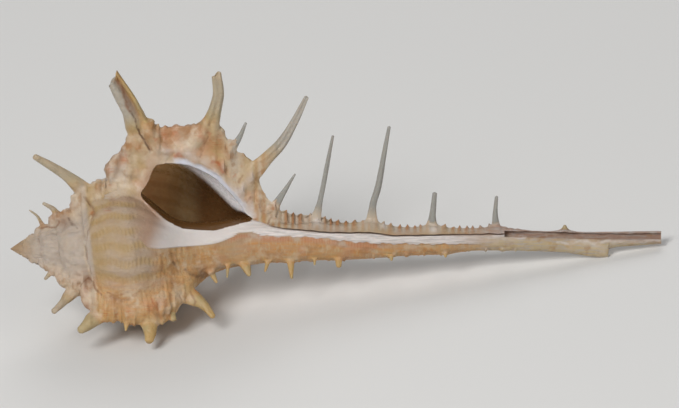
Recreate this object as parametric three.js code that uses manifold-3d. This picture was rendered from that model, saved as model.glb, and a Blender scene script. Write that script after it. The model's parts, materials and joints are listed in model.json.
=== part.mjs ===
// Caltrop murex shell: a spired sea shell with three rows of spines and a long canal.
//
// Lengths are millimetres and angles are degrees. The shell is shaped round its own axis:
// x runs from the apex to the tip of the canal, and the angle round the axis goes the way
// the shell grew: 0 above the axis, 90 on the side of the opening, 180 below, 270 behind.
// At the end the shell is laid down as it rests: belly, canal tip and back spines on the
// ground, opening to the front (-Y), canal to +X.

import * as THREE from 'three';
import { mergeVertices } from 'three/addons/utils/BufferGeometryUtils.js';
import Module from 'manifold-3d';

// Growth of the spiral
const LENGTH = 100; // apex to canal tip
const GROWTH = 1.57; // size of a whorl against the one a turn older
const POLE = 0.3; // point on the axis that the spiral shrinks towards
const SUTURE = 10.43; // pole to suture at growth angle 0
const GIRTH = 9.29; // radius of the whorl at growth angle 0
const LIP = 381; // growth angle of the outer lip's crest
const TURNS = 6; // whorls from the lip back to the apex
const SPIRE_SLIMMING = 0.16; // how much faster the older whorls lose girth than length
const SPIRE_FROM = 180; // growth angle where the slimming starts

// Whorl from suture to canal: distance from the pole in sutures, radius in girths
const WHORL = [[0, 0.6], [1, 0.655], [1.05, 0.72], [1.12, 0.81], [1.22, 0.895], [1.35, 0.965],
  [1.48, 0.995], [1.57, 1], [1.68, 0.965], [1.82, 0.87], [1.93, 0.77], [2.03, 0.66],
  [2.17, 0.505], [2.33, 0.37], [2.52, 0.27], [2.7, 0.22], [3, 0.12], [3.3, 0]];

// Crest of a varix, in the same measures
const CREST = [[0.8, 0.5], [0.85, 0.6], [0.865, 0.83], [0.92, 0.93], [0.99, 1.02], [1.064, 1.1],
  [1.2, 1.22], [1.355, 1.26], [1.536, 1.3], [1.7, 1.29], [1.9, 1.22], [1.973, 1.1],
  [2.045, 1.01], [2.164, 0.87], [2.24, 0.69], [2.28, 0.58], [2.355, 0.424], [2.427, 0.347],
  [2.6, 0.28], [2.9, 0.2], [3.2, 0]];
const OLD_CREST = 0.93; // height of an older varix against the lip's
const ROWS = { lip: LIP - 360, front: 150, back: 270 }; // angles of the three rows
const VARIX_BACK = 26; // degrees from a crest back to the whorl
const VARIX_FRONT = 14; // degrees from a crest on to the next whorl surface
const VARIX_END = [1.5, 1.66]; // the varix under the lip fades out here, in sutures

// Axial ribs between the varices
const RIB_STEP = 12;
const RIB_HEIGHT = 0.11;
const RIB_REACH = [1.02, 1.12, 1.95, 2.25]; // rise and fade, in sutures

// Canal round the axis: heights above, below and to the sides of it, by axial place
const CANAL_TOP = [[0, 3.1], [30, 3.1], [43.2, 3.3], [48.5, 2.97], [51.9, 2.63], [56.8, 2.16],
  [63, 1.74], [77, 1.55], [80.8, 1.18], [88.3, 0.99], [LENGTH, 1.08]];
const OLD_CANAL_END = 91.8; // the older layer under the canal breaks off here
const CANAL_BOTTOM = [[0, 3.1], [30, 3.1], [38.6, 3.3], [42.2, 3.4], [46.1, 3.19],
  [54.7, 2.97], [59.1, 2.62], [66.8, 2.3], [71.9, 1.8], [79.4, 1.88], [85.1, 2.16],
  [89.6, 2.82], [OLD_CANAL_END, 2.95], [OLD_CANAL_END + 0.2, 1.69], [93.4, 1.35],
  [96.8, 1.1], [LENGTH, 0.92]];
const CANAL_SIDE = [[0, 3], [30, 3], [45, 2.9], [60, 2.2], [75, 1.6], [90, 1.05], [LENGTH, 0.95]];
const CANAL_START = [1.25, 1.9]; // the canal comes out of the whorl here, in sutures
const BLEND = 3; // sharpness of the blend of whorl and canal
const AXIS_BEND = [[0, -0.77], [21.5, -0.08], [44.5, 0.77], [LENGTH, 1.08]];

// Lip's front face: its foot, and the inner lip's edge on the whorl it closes on
const LIP_FOOT_ANGLE = 26;
const LIP_FOOT = [[14.7, 9.2], [17, 10.2], [20, 11.4], [22, 13.7], [24.7, 14.1], [27, 13.7],
  [29.3, 12.5], [31.4, 10.8], [33.2, 8.9], [34.3, 7.3], [35.3, 6.2], [36.9, 4.8], [38.5, 4],
  [41, 3.7]];
const INNER_EDGE_ANGLE = [[14.7, 42], [20.1, 36], [22, 46], [23.5, 55], [25.5, 58], [28.4, 58],
  [31.8, 54], [34.1, 48], [36.3, 40], [37.5, 34], [41, 30]];

// Glaze on the inner lip: axial reach, angular reach and thickness
const GLAZE_REACH = [21.5, 24, 33, 37];
const GLAZE_ANGLES = [40, 52, 82, 90];
const GLAZE = 0.3;

// Body chamber: outline of the opening at the lip, axial place and radius
const OPENING = [[22.3, 13.5], [24.7, 13.5], [27, 13.1], [29.3, 11.8], [31.4, 10.1],
  [33.2, 8.2], [35.3, 5.5], [37.5, 3.8], [34.1, 3.6], [31.8, 3.35], [28.4, 3.4], [25.5, 4.15],
  [23.5, 5.75], [22.1, 7.1], [20.1, 9.2], [21.2, 10.6]];
const CHAMBER_ANGLES = [LIP + 37, LIP, 355, 330, 305, 280, 255, 230, 205, 185];

// Slit along the canal, and the open gutter near its tip: axial place and height
const SLIT = [[36.4, 4.15], [39, 3.44], [40.6, 2.76], [44.6, 2.3], [49.9, 1.9], [55.5, 1.84],
  [59.1, 1.43], [66, 1.54], [76, 1.69]];
const SLIT_WIDTH = 0.3;
const GUTTER = [[75.8, 1.69], [84.5, 1.38], [92.2, 0.92], [LENGTH + 1, 1.1]];
const GUTTER_WIDTH = 0.75;
const CUT_OUT = 4; // how far the two cuts reach in front of the axis
const SLIT_FLOOR = 0.4; // depth of the slit's bottom against the canal's side
const GUTTER_FLOOR = 0.15;

// Spines: points along each as axial place, radius and width; `open` ones are gutters
const LIP_SPINES = [
  { open: true, path: [[20.4, 18.3, 4.2], [18.8, 22.3, 3.3], [17.3, 25.3, 3], [15.9, 28.3, 2.2]] },
  { open: true, path: [[30.6, 18.8, 3.2], [31.5, 22.1, 1.9], [32, 24.8, 1.7], [31.6, 27.7, 1.4]] },
  { path: [[34.3, 15.4, 1.4], [35.3, 17.3, 0.8], [36.1, 19.5, 0.4]] },
  { open: true, path: [[37.5, 11.5, 2.9], [39.6, 13.8, 2], [41.4, 15.8, 1.7],
    [43.6, 19.6, 1.2], [45.4, 23.5, 0.7]] },
  { path: [[40.7, 5.6, 1.5], [42.4, 8.3, 0.7], [43.8, 10.7, 0.3]] },
  { path: [[47, 3.4, 1.7], [47.6, 6.6, 0.8], [48.5, 11.8, 0.7], [49.5, 17.1, 0.4]] },
  { path: [[55.5, 2.7, 2], [55.8, 5.5, 0.9], [56.7, 8.5, 1], [57.2, 13.1, 0.8],
    [58.1, 18.5, 0.5]] },
  { path: [[64.8, 2, 1.8], [65.1, 4, 0.9], [65.4, 7.5, 0.8]] },
  { path: [[74.6, 2, 1.4], [74.5, 3.9, 0.8], [74.7, 6.9, 0.5]] },
  { path: [[85.2, 1.2, 1.2], [85.2, 2.1, 0.5]] },
  { path: [[11.6, 9.2, 2.8], [8.7, 11.6, 1.7], [6.2, 13.6, 1.4], [3.9, 15.2, 0.9]] },
  { path: [[7.4, 5.5, 1.2], [6.1, 6.6, 0.8], [4.9, 7.6, 0.5]] },
  { path: [[4.9, 4.1, 0.6], [3.1, 6.3, 0.25]] },
];
const FRONT_SPINES = [
  { path: [[6.5, 4.1, 0.9], [5.5, 5.4, 0.5]] },
  { path: [[9.4, 8.2, 2], [8, 9.7, 1.2], [6.5, 11.4, 0.9]] },
  { path: [[13.4, 12.2, 2.8], [12, 13.4, 2], [10.6, 14.8, 1.2]] },
  { path: [[18.1, 13.5, 1], [18, 14.8, 0.3]] },
  { path: [[21.4, 13.4, 2.8], [21.4, 15.3, 1.8], [21.3, 17, 1.2]] },
  { path: [[24.7, 12, 1.2], [25.3, 13.4, 0.5]] },
  { path: [[27.8, 9.4, 2.8], [29.7, 10.9, 1.5], [31.2, 12.9, 0.8]] },
  { path: [[31, 5.3, 0.9], [31.6, 6.9, 0.4]] },
  { path: [[33.4, 4.4, 0.5], [33.3, 6.1, 0.25]] },
  { path: [[36.4, 4.2, 1.2], [36.8, 6, 0.5]] },
  { path: [[39.6, 3.8, 0.8], [39.2, 5.4, 0.3]] },
  { path: [[43.1, 3.9, 1.2], [43.3, 6.7, 0.4]] },
  { path: [[50.5, 3.4, 1.2], [50.5, 4.7, 0.8]] },
];
const BACK_SPINES = [
  { path: [[4.5, 3.4, 0.6], [3.8, 4.7, 0.25]] },
  { path: [[6.9, 5.4, 1.1], [5.8, 7.2, 0.5]] },
  { path: [[10.7, 8.8, 2.2], [9, 11, 1.2], [7.6, 13.2, 0.8]] },
  { open: true, path: [[16.9, 13.8, 3.4], [15.5, 19, 2.4], [14.4, 24.5, 1.9], [13.8, 31, 1.4]] },
  { path: [[21.6, 15.4, 1.1], [21.8, 17.6, 0.4]] },
  { open: true, path: [[25.6, 15.2, 2.8], [26.3, 20.5, 1.8], [26.8, 25.5, 1.5],
    [26.9, 31, 1.2]] },
  { open: true, path: [[32.2, 9.5, 2.4], [34, 13.5, 1.7], [36, 17.5, 1.4], [38, 21.5, 0.9]] },
  { path: [[36.5, 5.2, 1.2], [38, 8.2, 0.5]] },
  { path: [[41.5, 3.6, 1.6], [42.6, 8, 0.8], [44, 13, 0.6], [45, 16.5, 0.4]] },
  { path: [[48.7, 2.9, 1.6], [49.5, 7, 0.8], [50.5, 12, 0.6]] },
  { path: [[57.5, 2.3, 1.4], [58, 6, 0.7], [58.5, 9, 0.5]] },
  { path: [[66.5, 1.8, 1.2], [67, 4.5, 0.6]] },
  { path: [[75.5, 1.4, 0.9], [75.7, 3.6, 0.5]] },
];
const SPINE_ROOT = 1.6; // a spine starts this far inside the shell
const SPINE_SIDES = 6;
const OPEN_SIDES = 8;
const SPINE_FLATNESS = 0.8; // thickness against width
const GROOVE = 0.35; // what is left of the half thickness in an open spine's groove

// How the shell lies: turned about its axis, canal down, and let down onto the ground
const REST_ROLL = 24;
const REST_PITCH = 8.4;
const WORN = 0.12; // depth of the worn flat that it rests on

// Mesh
const COLUMN_STEP = 6;
const OLD_WHORL_ROWS = [1, 1.03, 1.1, 1.22, 1.38, 1.52];
const TINY_WHORL_ROWS = [1, 1.1, 1.35];
const LAST_WHORL_ROWS = [1, 1.03, 1.1, 1.2, 1.35, 1.5, 1.65, 1.8, 1.93, 2.06, 2.2, 2.35];
const BRIDGE_ROWS = [0.2, 0.4, 0.6, 0.8];
const CANAL_ROWS = [43.2, 47, 53, 60, 67, 73, 79, 86, OLD_CANAL_END, OLD_CANAL_END + 0.2, 96,
  LENGTH];

const degrees = Math.PI / 180;

/** Smooth curve through points [t, value, ...], as a function of t. */
function through(points, item = 1) {
  const slopes = points.slice(1).map((p, i) => (p[item] - points[i][item]) / (p[0] - points[i][0]));
  const tangents = points.map((_, i) => {
    if (i === 0 || i === slopes.length) return slopes[Math.max(i - 1, 0)];
    const [before, after] = [slopes[i - 1], slopes[i]];
    return before * after <= 0 ? 0 : (2 * before * after) / (before + after);
  });
  return (t) => {
    const last = points.length - 1;
    if (t <= points[0][0]) return points[0][item];
    if (t >= points[last][0]) return points[last][item];
    let i = 0;
    while (t > points[i + 1][0]) i += 1;
    const span = points[i + 1][0] - points[i][0];
    const s = (t - points[i][0]) / span;
    const rise = points[i + 1][item] - points[i][item];
    const bend = s * (1 - s) * (span * ((1 - s) * tangents[i] - s * tangents[i + 1])
      - rise * (1 - 2 * s));
    return points[i][item] + s * rise + bend;
  };
}

/** Rises smoothly from 0 to 1 between two values. */
function ease(from, to, t) {
  return THREE.MathUtils.smoothstep(t, from, to);
}

/** 1 inside a reach of four values, easing in and out at its ends. */
function within([start, full, fade, end], t) {
  return ease(start, full, t) * (1 - ease(fade, end, t));
}

const whorl = through(WHORL);
const crest = through(CREST);
const canalTop = through(CANAL_TOP);
const canalBottom = through(CANAL_BOTTOM);
const canalSide = through(CANAL_SIDE);
const axisHeight = through(AXIS_BEND);
const lipFoot = through(LIP_FOOT);
const innerEdgeAngle = through(INNER_EDGE_ANGLE);

/** Size of the shell at a growth angle against its size at 0. */
function size(angle) {
  return GROWTH ** (angle / 360);
}

/** Radius that one girth has at a growth angle. */
function girth(angle) {
  const slim = SPIRE_SLIMMING * Math.min(angle - SPIRE_FROM, 0);
  return GIRTH * size(angle + slim);
}

/** Distance of an axial place from the pole, in sutures of the whorl at a growth angle. */
function sutures(x, angle) {
  return (x - POLE) / (SUTURE * size(angle));
}

/** Turns back from the last whorl to the whorl that shows at an axial place. */
function turnsBack(x, angle) {
  let turns = 0;
  while (turns < TURNS && sutures(x, angle - 360 * turns) < 1) turns += 1;
  return turns;
}

/** Canal alone: an oval tube round the axis. */
function canalRadius(x, angle) {
  const up = Math.cos(angle * degrees);
  const out = Math.sin(angle * degrees);
  const height = up > 0 ? canalTop(x) : canalBottom(x);
  return 1 / Math.hypot(up / height, out / canalSide(x));
}

/** Shell without varices: the whorl that shows, its ribs, and the canal. */
function bareRadius(x, angle) {
  const turns = turnsBack(x, angle);
  const u = sutures(x, angle - 360 * turns);
  const wave = Math.cos((angle * 360 / RIB_STEP) * degrees);
  const ribs = RIB_HEIGHT * size(-360 * turns) * within(RIB_REACH, u) * wave;
  const body = Math.max(girth(angle - 360 * turns) * whorl(u) + ribs, 0);
  const tube = turns > 0 ? 0 : canalRadius(x, angle) * ease(...CANAL_START, u);
  return (body ** BLEND + tube ** BLEND) ** (1 / BLEND);
}

/** Radius of a varix crest at its own growth angle. */
function crestRadius(x, angle) {
  return girth(angle) * crest(sutures(x, angle));
}

/** Growth angles of the varices near a growth angle. */
function varicesNear(angle) {
  return Object.values(ROWS)
    .map((row) => row + 360 * Math.round((angle - row) / 360))
    .filter((varix) => varix <= LIP);
}

/** How much of a varix stands at an angle away from its crest. */
function varixShare(away) {
  const width = away < 0 ? VARIX_BACK : VARIX_FRONT;
  return Math.abs(away) >= width ? 0 : 0.5 + 0.5 * Math.cos((180 * away / width) * degrees);
}

/** Adds the varices of the whorl that shows, and of the one that laps over it. */
function withVarices(x, angle, bare) {
  const turns = turnsBack(x, angle);
  let radius = bare;
  for (const whorlTurns of [turns, turns - 1]) {
    const growth = angle - 360 * whorlTurns;
    for (const varix of varicesNear(growth)) {
      const underLip = varix === ROWS.lip ? 1 - ease(...VARIX_END, sutures(x, varix)) : 1;
      const height = varix === LIP ? 1 : OLD_CREST;
      const top = crestRadius(x, varix) * height;
      const share = growth > LIP ? 0 : varixShare(growth - varix) * underLip;
      radius = Math.max(radius, bare + (top - bare) * share);
    }
  }
  return radius;
}

/** Face of the lip and the closed plane of the opening, between lip foot and inner edge. */
function lipFace(x, angle) {
  const inner = innerEdgeAngle(x);
  if (x < LIP_FOOT[0][0] || x > LIP_FOOT.at(-1)[0] || angle >= inner) return 0;
  const foot = lipFoot(x);
  const edge = bareRadius(x, inner);
  const between = Math.sin((inner - LIP_FOOT_ANGLE) * degrees);
  const toFoot = foot * Math.sin((angle - LIP_FOOT_ANGLE) * degrees);
  const toEdge = edge * Math.sin((inner - angle) * degrees);
  return (foot * edge * between) / (toFoot + toEdge);
}

/** Outer surface of the whole shell, its opening closed by a plane. */
function shellRadius(x, angle) {
  const glaze = GLAZE * within(GLAZE_REACH, x) * within(GLAZE_ANGLES, angle);
  const bare = bareRadius(x, angle) + glaze;
  return Math.max(withVarices(x, angle, bare), lipFace(x, angle));
}

/** Point from axial place, angle and radius. */
function point(x, angle, radius) {
  const y = axisHeight(x) + radius * Math.cos(angle * degrees);
  return new THREE.Vector3(x, y, radius * Math.sin(angle * degrees));
}

/** Axial places of one column's points, apex to canal tip, following the sutures. */
function columnPlaces(angle) {
  const places = [];
  for (let turns = TURNS - 1; turns > 0; turns -= 1) {
    const rows = turns > 2 ? TINY_WHORL_ROWS : OLD_WHORL_ROWS;
    places.push(...rows.map((u) => POLE + u * SUTURE * size(angle - 360 * turns)));
  }
  places.push(...LAST_WHORL_ROWS.map((u) => POLE + u * SUTURE * size(angle)));
  const lastWhorl = places.at(-1);
  places.push(...BRIDGE_ROWS.map((t) => THREE.MathUtils.lerp(lastWhorl, CANAL_ROWS[0], t)));
  places.push(...CANAL_ROWS);
  return places;
}

/** Angles of the columns, from the lip's foot round to the lip's crest. */
function columnAngles() {
  const angles = [LIP_FOOT_ANGLE];
  for (let angle = 30; angle < LIP; angle += COLUMN_STEP) angles.push(angle);
  angles.push(LIP);
  return angles;
}

/** Closed geometry from points and triangles. */
function closedGeometry(points, triangles) {
  const geometry = new THREE.BufferGeometry().setFromPoints(points);
  geometry.setIndex(triangles.flat());
  return geometry;
}

/** Body of the shell: columns of points round the axis, closed at apex and canal tip. */
function bodyGeometry() {
  const angles = columnAngles();
  const rows = columnPlaces(LIP).length;
  const points = [];
  for (const angle of angles) {
    for (const x of columnPlaces(angle)) points.push(point(x, angle, shellRadius(x, angle)));
  }
  const apex = points.push(point(0, 0, 0)) - 1;
  const tip = points.push(point(LENGTH, 0, 0)) - 1;
  const triangles = [];
  for (let c = 0; c < angles.length - 1; c += 1) {
    const here = c * rows;
    const next = here + rows;
    for (let r = 0; r < rows - 1; r += 1) {
      triangles.push([here + r, here + r + 1, next + r + 1], [here + r, next + r + 1, next + r]);
    }
    triangles.push([apex, here, next], [tip, next + rows - 1, here + rows - 1]);
  }
  const first = 0;
  const last = (angles.length - 1) * rows;
  triangles.push([apex, last, first], [tip, first + rows - 1, last + rows - 1]);
  triangles.push(...zipColumns(points, last, first, rows));
  return closedGeometry(points, triangles);
}

/** Triangles between two columns whose points lie at different axial places. */
function zipColumns(points, left, right, rows) {
  const triangles = [];
  let [l, r] = [0, 0];
  while (l < rows - 1 || r < rows - 1) {
    const leftNext = l < rows - 1 ? points[left + l + 1].x : Infinity;
    const rightNext = r < rows - 1 ? points[right + r + 1].x : Infinity;
    if (leftNext < rightNext) {
      triangles.push([left + l, left + l + 1, right + r]);
      l += 1;
    } else {
      triangles.push([left + l, right + r + 1, right + r]);
      r += 1;
    }
  }
  return triangles;
}

/** Closed tube through rings of points, with flat ends. */
function loft(rings) {
  const sides = rings[0].length;
  const points = rings.flat();
  const triangles = [];
  for (let ring = 0; ring < rings.length - 1; ring += 1) {
    for (let side = 0; side < sides; side += 1) {
      const a = ring * sides + side;
      const b = ring * sides + ((side + 1) % sides);
      triangles.push([a, b, b + sides], [a, b + sides, a + sides]);
    }
  }
  for (const [ring, turned] of [[0, true], [rings.length - 1, false]]) {
    const centre = new THREE.Vector3();
    for (const p of rings[ring]) centre.addScaledVector(p, 1 / sides);
    const middle = points.push(centre) - 1;
    for (let side = 0; side < sides; side += 1) {
      const a = ring * sides + side;
      const b = ring * sides + ((side + 1) % sides);
      triangles.push(turned ? [b, a, middle] : [a, b, middle]);
    }
  }
  return closedGeometry(points, triangles);
}

/** Body chamber: the opening's outline swept back along the spiral. */
function chamberGeometry() {
  return loft(CHAMBER_ANGLES.map((angle) => {
    const scale = size(angle - LIP);
    return OPENING.map(([x, r]) => point(POLE + (x - POLE) * scale, angle, r * scale));
  }));
}

/** Narrow cut into the front of the canal along a line of heights. */
function cutGeometry(line, width, floor) {
  return loft(line.map(([x, y]) => {
    const bottom = canalSide(x) * floor;
    return [[-1, bottom], [1, bottom], [1, CUT_OUT + bottom], [-1, CUT_OUT + bottom]]
      .map(([side, z]) => new THREE.Vector3(x, y + side * width / 2, z));
  }));
}

/** Spine of a row: a tapering tube from inside the shell to its tip, grooved if open. */
function spineGeometry({ path, open }, row) {
  const sides = open ? OPEN_SIDES : SPINE_SIDES;
  const [start, next] = path;
  const step = Math.hypot(next[0] - start[0], next[1] - start[1]);
  const back = SPINE_ROOT / step;
  const root = [start[0] - (next[0] - start[0]) * back, start[1] - (next[1] - start[1]) * back,
    start[2]];
  const stops = [root, ...path];
  const across = new THREE.Vector3(0, -Math.sin(row * degrees), Math.cos(row * degrees));
  return loft(stops.map(([x, r, width], i) => {
    const before = stops[Math.max(i - 1, 0)];
    const after = stops[Math.min(i + 1, stops.length - 1)];
    const along = point(after[0], row, after[1]).sub(point(before[0], row, before[1]));
    const side = new THREE.Vector3().crossVectors(across, along).normalize();
    return Array.from({ length: sides }, (_, k) => {
      const turn = (2 * Math.PI * k) / sides;
      const groove = open && k === sides / 4 ? GROOVE : 1;
      return point(x, row, r).addScaledVector(side, Math.cos(turn) * width / 2)
        .addScaledVector(across, Math.sin(turn) * groove * SPINE_FLATNESS * width / 2);
    });
  }));
}

/** Turn of the shell from its own frame to how it lies. */
function restTurn() {
  const [roll, pitch] = [REST_ROLL * degrees, REST_PITCH * degrees];
  const up = new THREE.Vector3(-Math.sin(pitch), Math.cos(pitch) * Math.cos(roll),
    Math.cos(pitch) * Math.sin(roll));
  const along = new THREE.Vector3(1, 0, 0);
  along.addScaledVector(up, -along.dot(up)).normalize();
  const away = new THREE.Vector3().crossVectors(up, along);
  return new THREE.Matrix4().makeBasis(along, away, up).transpose();
}

const wasm = await Module();
wasm.setup();

/** Closed geometry as a solid, its faces turned outwards. */
function solid(geometry) {
  const merged = mergeVertices(geometry, 1e-5);
  const { array } = merged.getAttribute('position');
  const faces = Uint32Array.from(merged.index.array);
  if (volume(array, faces) < 0) {
    for (let f = 0; f < faces.length; f += 3) [faces[f], faces[f + 1]] = [faces[f + 1], faces[f]];
  }
  const mesh = new wasm.Mesh({ numProp: 3, vertProperties: Float32Array.from(array), triVerts: faces });
  return new wasm.Manifold(mesh);
}

/** Signed volume inside triangles. */
function volume(positions, faces) {
  const corner = (i) => new THREE.Vector3().fromArray(positions, 3 * faces[i]);
  let sum = 0;
  for (let f = 0; f < faces.length; f += 3) {
    sum += corner(f).dot(corner(f + 1).cross(corner(f + 2))) / 6;
  }
  return sum;
}

/** Solid as a three.js geometry. */
function geometryOf(manifold) {
  const mesh = manifold.getMesh();
  const geometry = new THREE.BufferGeometry();
  geometry.setAttribute('position', new THREE.BufferAttribute(mesh.vertProperties, 3));
  geometry.setIndex(new THREE.BufferAttribute(mesh.triVerts, 1));
  return geometry;
}

/** Whole shell in its own frame. */
function shellSolid() {
  let shell = solid(bodyGeometry());
  const rows = [[LIP_SPINES, ROWS.lip], [FRONT_SPINES, ROWS.front], [BACK_SPINES, ROWS.back]];
  for (const [spines, row] of rows) {
    for (const spine of spines) shell = shell.add(solid(spineGeometry(spine, row)));
  }
  return shell.subtract(solid(chamberGeometry()))
    .subtract(solid(cutGeometry(SLIT, SLIT_WIDTH, SLIT_FLOOR)))
    .subtract(solid(cutGeometry(GUTTER, GUTTER_WIDTH, GUTTER_FLOOR)));
}

/** Shell as it lies: turned, let down, and worn flat where it touches the ground. */
function restingGeometry() {
  const turned = geometryOf(shellSolid()).applyMatrix4(restTurn());
  const body = bodyGeometry().applyMatrix4(restTurn());
  body.computeBoundingBox();
  turned.translate(0, 0, -body.boundingBox.min.z - WORN);
  const ground = new THREE.BoxGeometry(3 * LENGTH, 3 * LENGTH, LENGTH);
  ground.deleteAttribute('normal');
  ground.deleteAttribute('uv');
  ground.translate(0, 0, -LENGTH / 2);
  const geometry = geometryOf(solid(turned).subtract(solid(ground)));
  geometry.computeBoundingBox();
  const centre = geometry.boundingBox.getCenter(new THREE.Vector3());
  geometry.translate(-centre.x, -centre.y, 0);
  return geometry;
}

const material = new THREE.MeshStandardMaterial({ color: 0xd9c9a8, roughness: 0.45, metalness: 0 });
const shell = new THREE.Mesh(restingGeometry(), material);
shell.name = 'shell';

const murex = new THREE.Group();
murex.add(shell);

export default murex;
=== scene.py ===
"""Caltrop murex shell lying on a pale studio floor, seen towards its opening.

The shell is shaped in its own frame, in millimetres: x runs from the apex to the tip of
the canal, and the angle round that axis goes the way the shell grew, 0 above the axis, 90
on the side of the opening, 180 below and 270 behind. It is then turned and let down to lie
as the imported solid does, and scaled to metres.
"""

import json
import logging
import math
from collections.abc import Iterator
from contextlib import contextmanager
from dataclasses import dataclass, field
from enum import Enum
from functools import partial, reduce

import bpy
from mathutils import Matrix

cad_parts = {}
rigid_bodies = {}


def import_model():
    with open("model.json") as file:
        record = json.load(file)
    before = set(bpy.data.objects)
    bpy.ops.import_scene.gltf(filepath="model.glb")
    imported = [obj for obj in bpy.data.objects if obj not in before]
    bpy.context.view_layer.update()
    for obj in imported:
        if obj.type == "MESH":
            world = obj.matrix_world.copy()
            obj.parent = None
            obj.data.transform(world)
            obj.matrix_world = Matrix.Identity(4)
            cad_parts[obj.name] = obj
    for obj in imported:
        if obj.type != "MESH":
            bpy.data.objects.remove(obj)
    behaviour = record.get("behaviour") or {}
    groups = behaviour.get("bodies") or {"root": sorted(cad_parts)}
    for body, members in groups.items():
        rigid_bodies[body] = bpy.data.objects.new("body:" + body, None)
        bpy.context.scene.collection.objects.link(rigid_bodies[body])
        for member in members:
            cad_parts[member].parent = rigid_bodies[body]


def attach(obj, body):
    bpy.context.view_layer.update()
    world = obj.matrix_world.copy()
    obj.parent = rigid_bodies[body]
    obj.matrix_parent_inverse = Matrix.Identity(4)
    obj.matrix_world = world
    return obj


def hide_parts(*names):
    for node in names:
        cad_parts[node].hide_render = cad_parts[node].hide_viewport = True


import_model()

for spare in [o for o in bpy.data.objects if o.name in ("Cube", "Light", "Camera")]:
    bpy.data.objects.remove(spare)
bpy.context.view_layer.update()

import numpy as np
from mathutils import Matrix, Vector, kdtree, noise

logger = logging.getLogger("murex")
MM = 0.001
TURN = 360.0
Array = np.ndarray
Piece = bpy.types.Object
Rows = tuple[tuple[float, ...], ...]
Pair = tuple[float, float]
Reach = tuple[float, float, float, float]
Colour = tuple[float, float, float, float]


class Op(Enum):
    """What a boolean does with its tool."""

    JOIN = "UNION"
    CUT = "DIFFERENCE"


class Blend(Enum):
    """What is mixed: its data type and the numbers of the node's first input and output for it."""

    COLOUR = ("RGBA", 6, 2)
    NUMBER = ("FLOAT", 2, 0)


class Row(Enum):
    """Angle of each row of spines round the axis, in degrees."""

    LIP = 21.0
    FRONT = 150.0
    BACK = 270.0

    def away(self, angle: Array) -> Array:
        """Degrees from the row to an angle, -180 to 180."""
        return np.mod(angle - self.value + TURN / 2, TURN) - TURN / 2


def ease(start: float, end: float, t: Array) -> Array:
    """Rise smoothly from 0 to 1 between a start and an end."""
    s = np.clip((np.asarray(t, float) - start) / (end - start), 0, 1)
    return s * s * (3 - 2 * s)


def within(reach: Reach, t: Array) -> Array:
    """Share of 1 inside a reach of start, full, fade and end, easing in and out."""
    start, full, fade, end = reach
    return ease(start, full, t) * (1 - ease(fade, end, t))


def cos_deg(angle: Array) -> Array:
    """Cosine of an angle in degrees."""
    return np.cos(np.radians(angle))


def sin_deg(angle: Array) -> Array:
    """Sine of an angle in degrees."""
    return np.sin(np.radians(angle))


def blob(along: Array, across: Array, size: float) -> Array:
    """Nearness to a round spot, 1 in its middle."""
    return np.exp(-(along ** 2 + across ** 2) / size ** 2)


@dataclass(frozen=True)
class Curve:
    """Smooth curve through points of place and value, with no overshoot."""

    points: Rows

    def __call__(self, t: Array) -> Array:
        """Look values up.

        Args:
            t: Places along the curve.

        Returns:
            Values there, held at the end values outside the points.
        """
        places, values = np.array(self.points, float).T
        slopes = np.diff(values) / np.diff(places)
        product = slopes[:-1] * slopes[1:]
        total = slopes[:-1] + slopes[1:]
        safe = np.where(product > 0, total, 1.0)
        inner = np.where(product > 0, 2 * product / safe, 0.0)
        tangents = np.concatenate([slopes[:1], inner, slopes[-1:]])
        i = np.clip(np.searchsorted(places, t, side="right") - 1, 0, len(places) - 2)
        span = places[i + 1] - places[i]
        s = np.clip((t - places[i]) / span, 0, 1)
        rise = values[i + 1] - values[i]
        bend = s * (1 - s) * (span * ((1 - s) * tangents[i] - s * tangents[i + 1]) - rise * (1 - 2 * s))
        return values[i] + s * rise + bend


@dataclass(frozen=True)
class Wave:
    """Uneven wave: 1 on a crest and -1 between two, its phase swaying as it goes."""

    step: float
    start: float
    sways: Rows

    def __call__(self, t: Array) -> Array:
        """Look the wave up.

        Args:
            t: Places along the wave.

        Returns:
            Values from -1 to 1.
        """
        phase = 2 * np.pi * (t - self.start) / self.step
        for rate, size, shift in self.sways:
            phase = phase + size * np.sin(rate * t + shift)
        return np.cos(phase)


CORDS = Wave(0.085, 1.0, ((23.0, 0.9, 0.0), (41.0, 0.7, 1.0)))
CUSPS = Wave(1.15, 0.0, ((0.9, 1.1, 0.0), (2.3, 0.5, 0.0)))


@dataclass(frozen=True)
class Places:
    """Points of the shell's own frame, with their growth angles on the last turn."""

    points: Array
    x: Array
    y: Array
    angle: Array
    radius: Array

    def around(self) -> Array:
        """Angles from -160 to 200, which run on past the top of the shell."""
        return np.where(self.angle > 200, self.angle - TURN, self.angle)


@dataclass(frozen=True)
class Patch:
    """Part of the shell that eases in and out: reach round the axis and along it."""

    around: Reach
    along: Reach

    def share(self, place: Places) -> Array:
        """Share of 1 inside the patch at each point."""
        return within(self.around, place.around()) * within(self.along, place.x)


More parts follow.
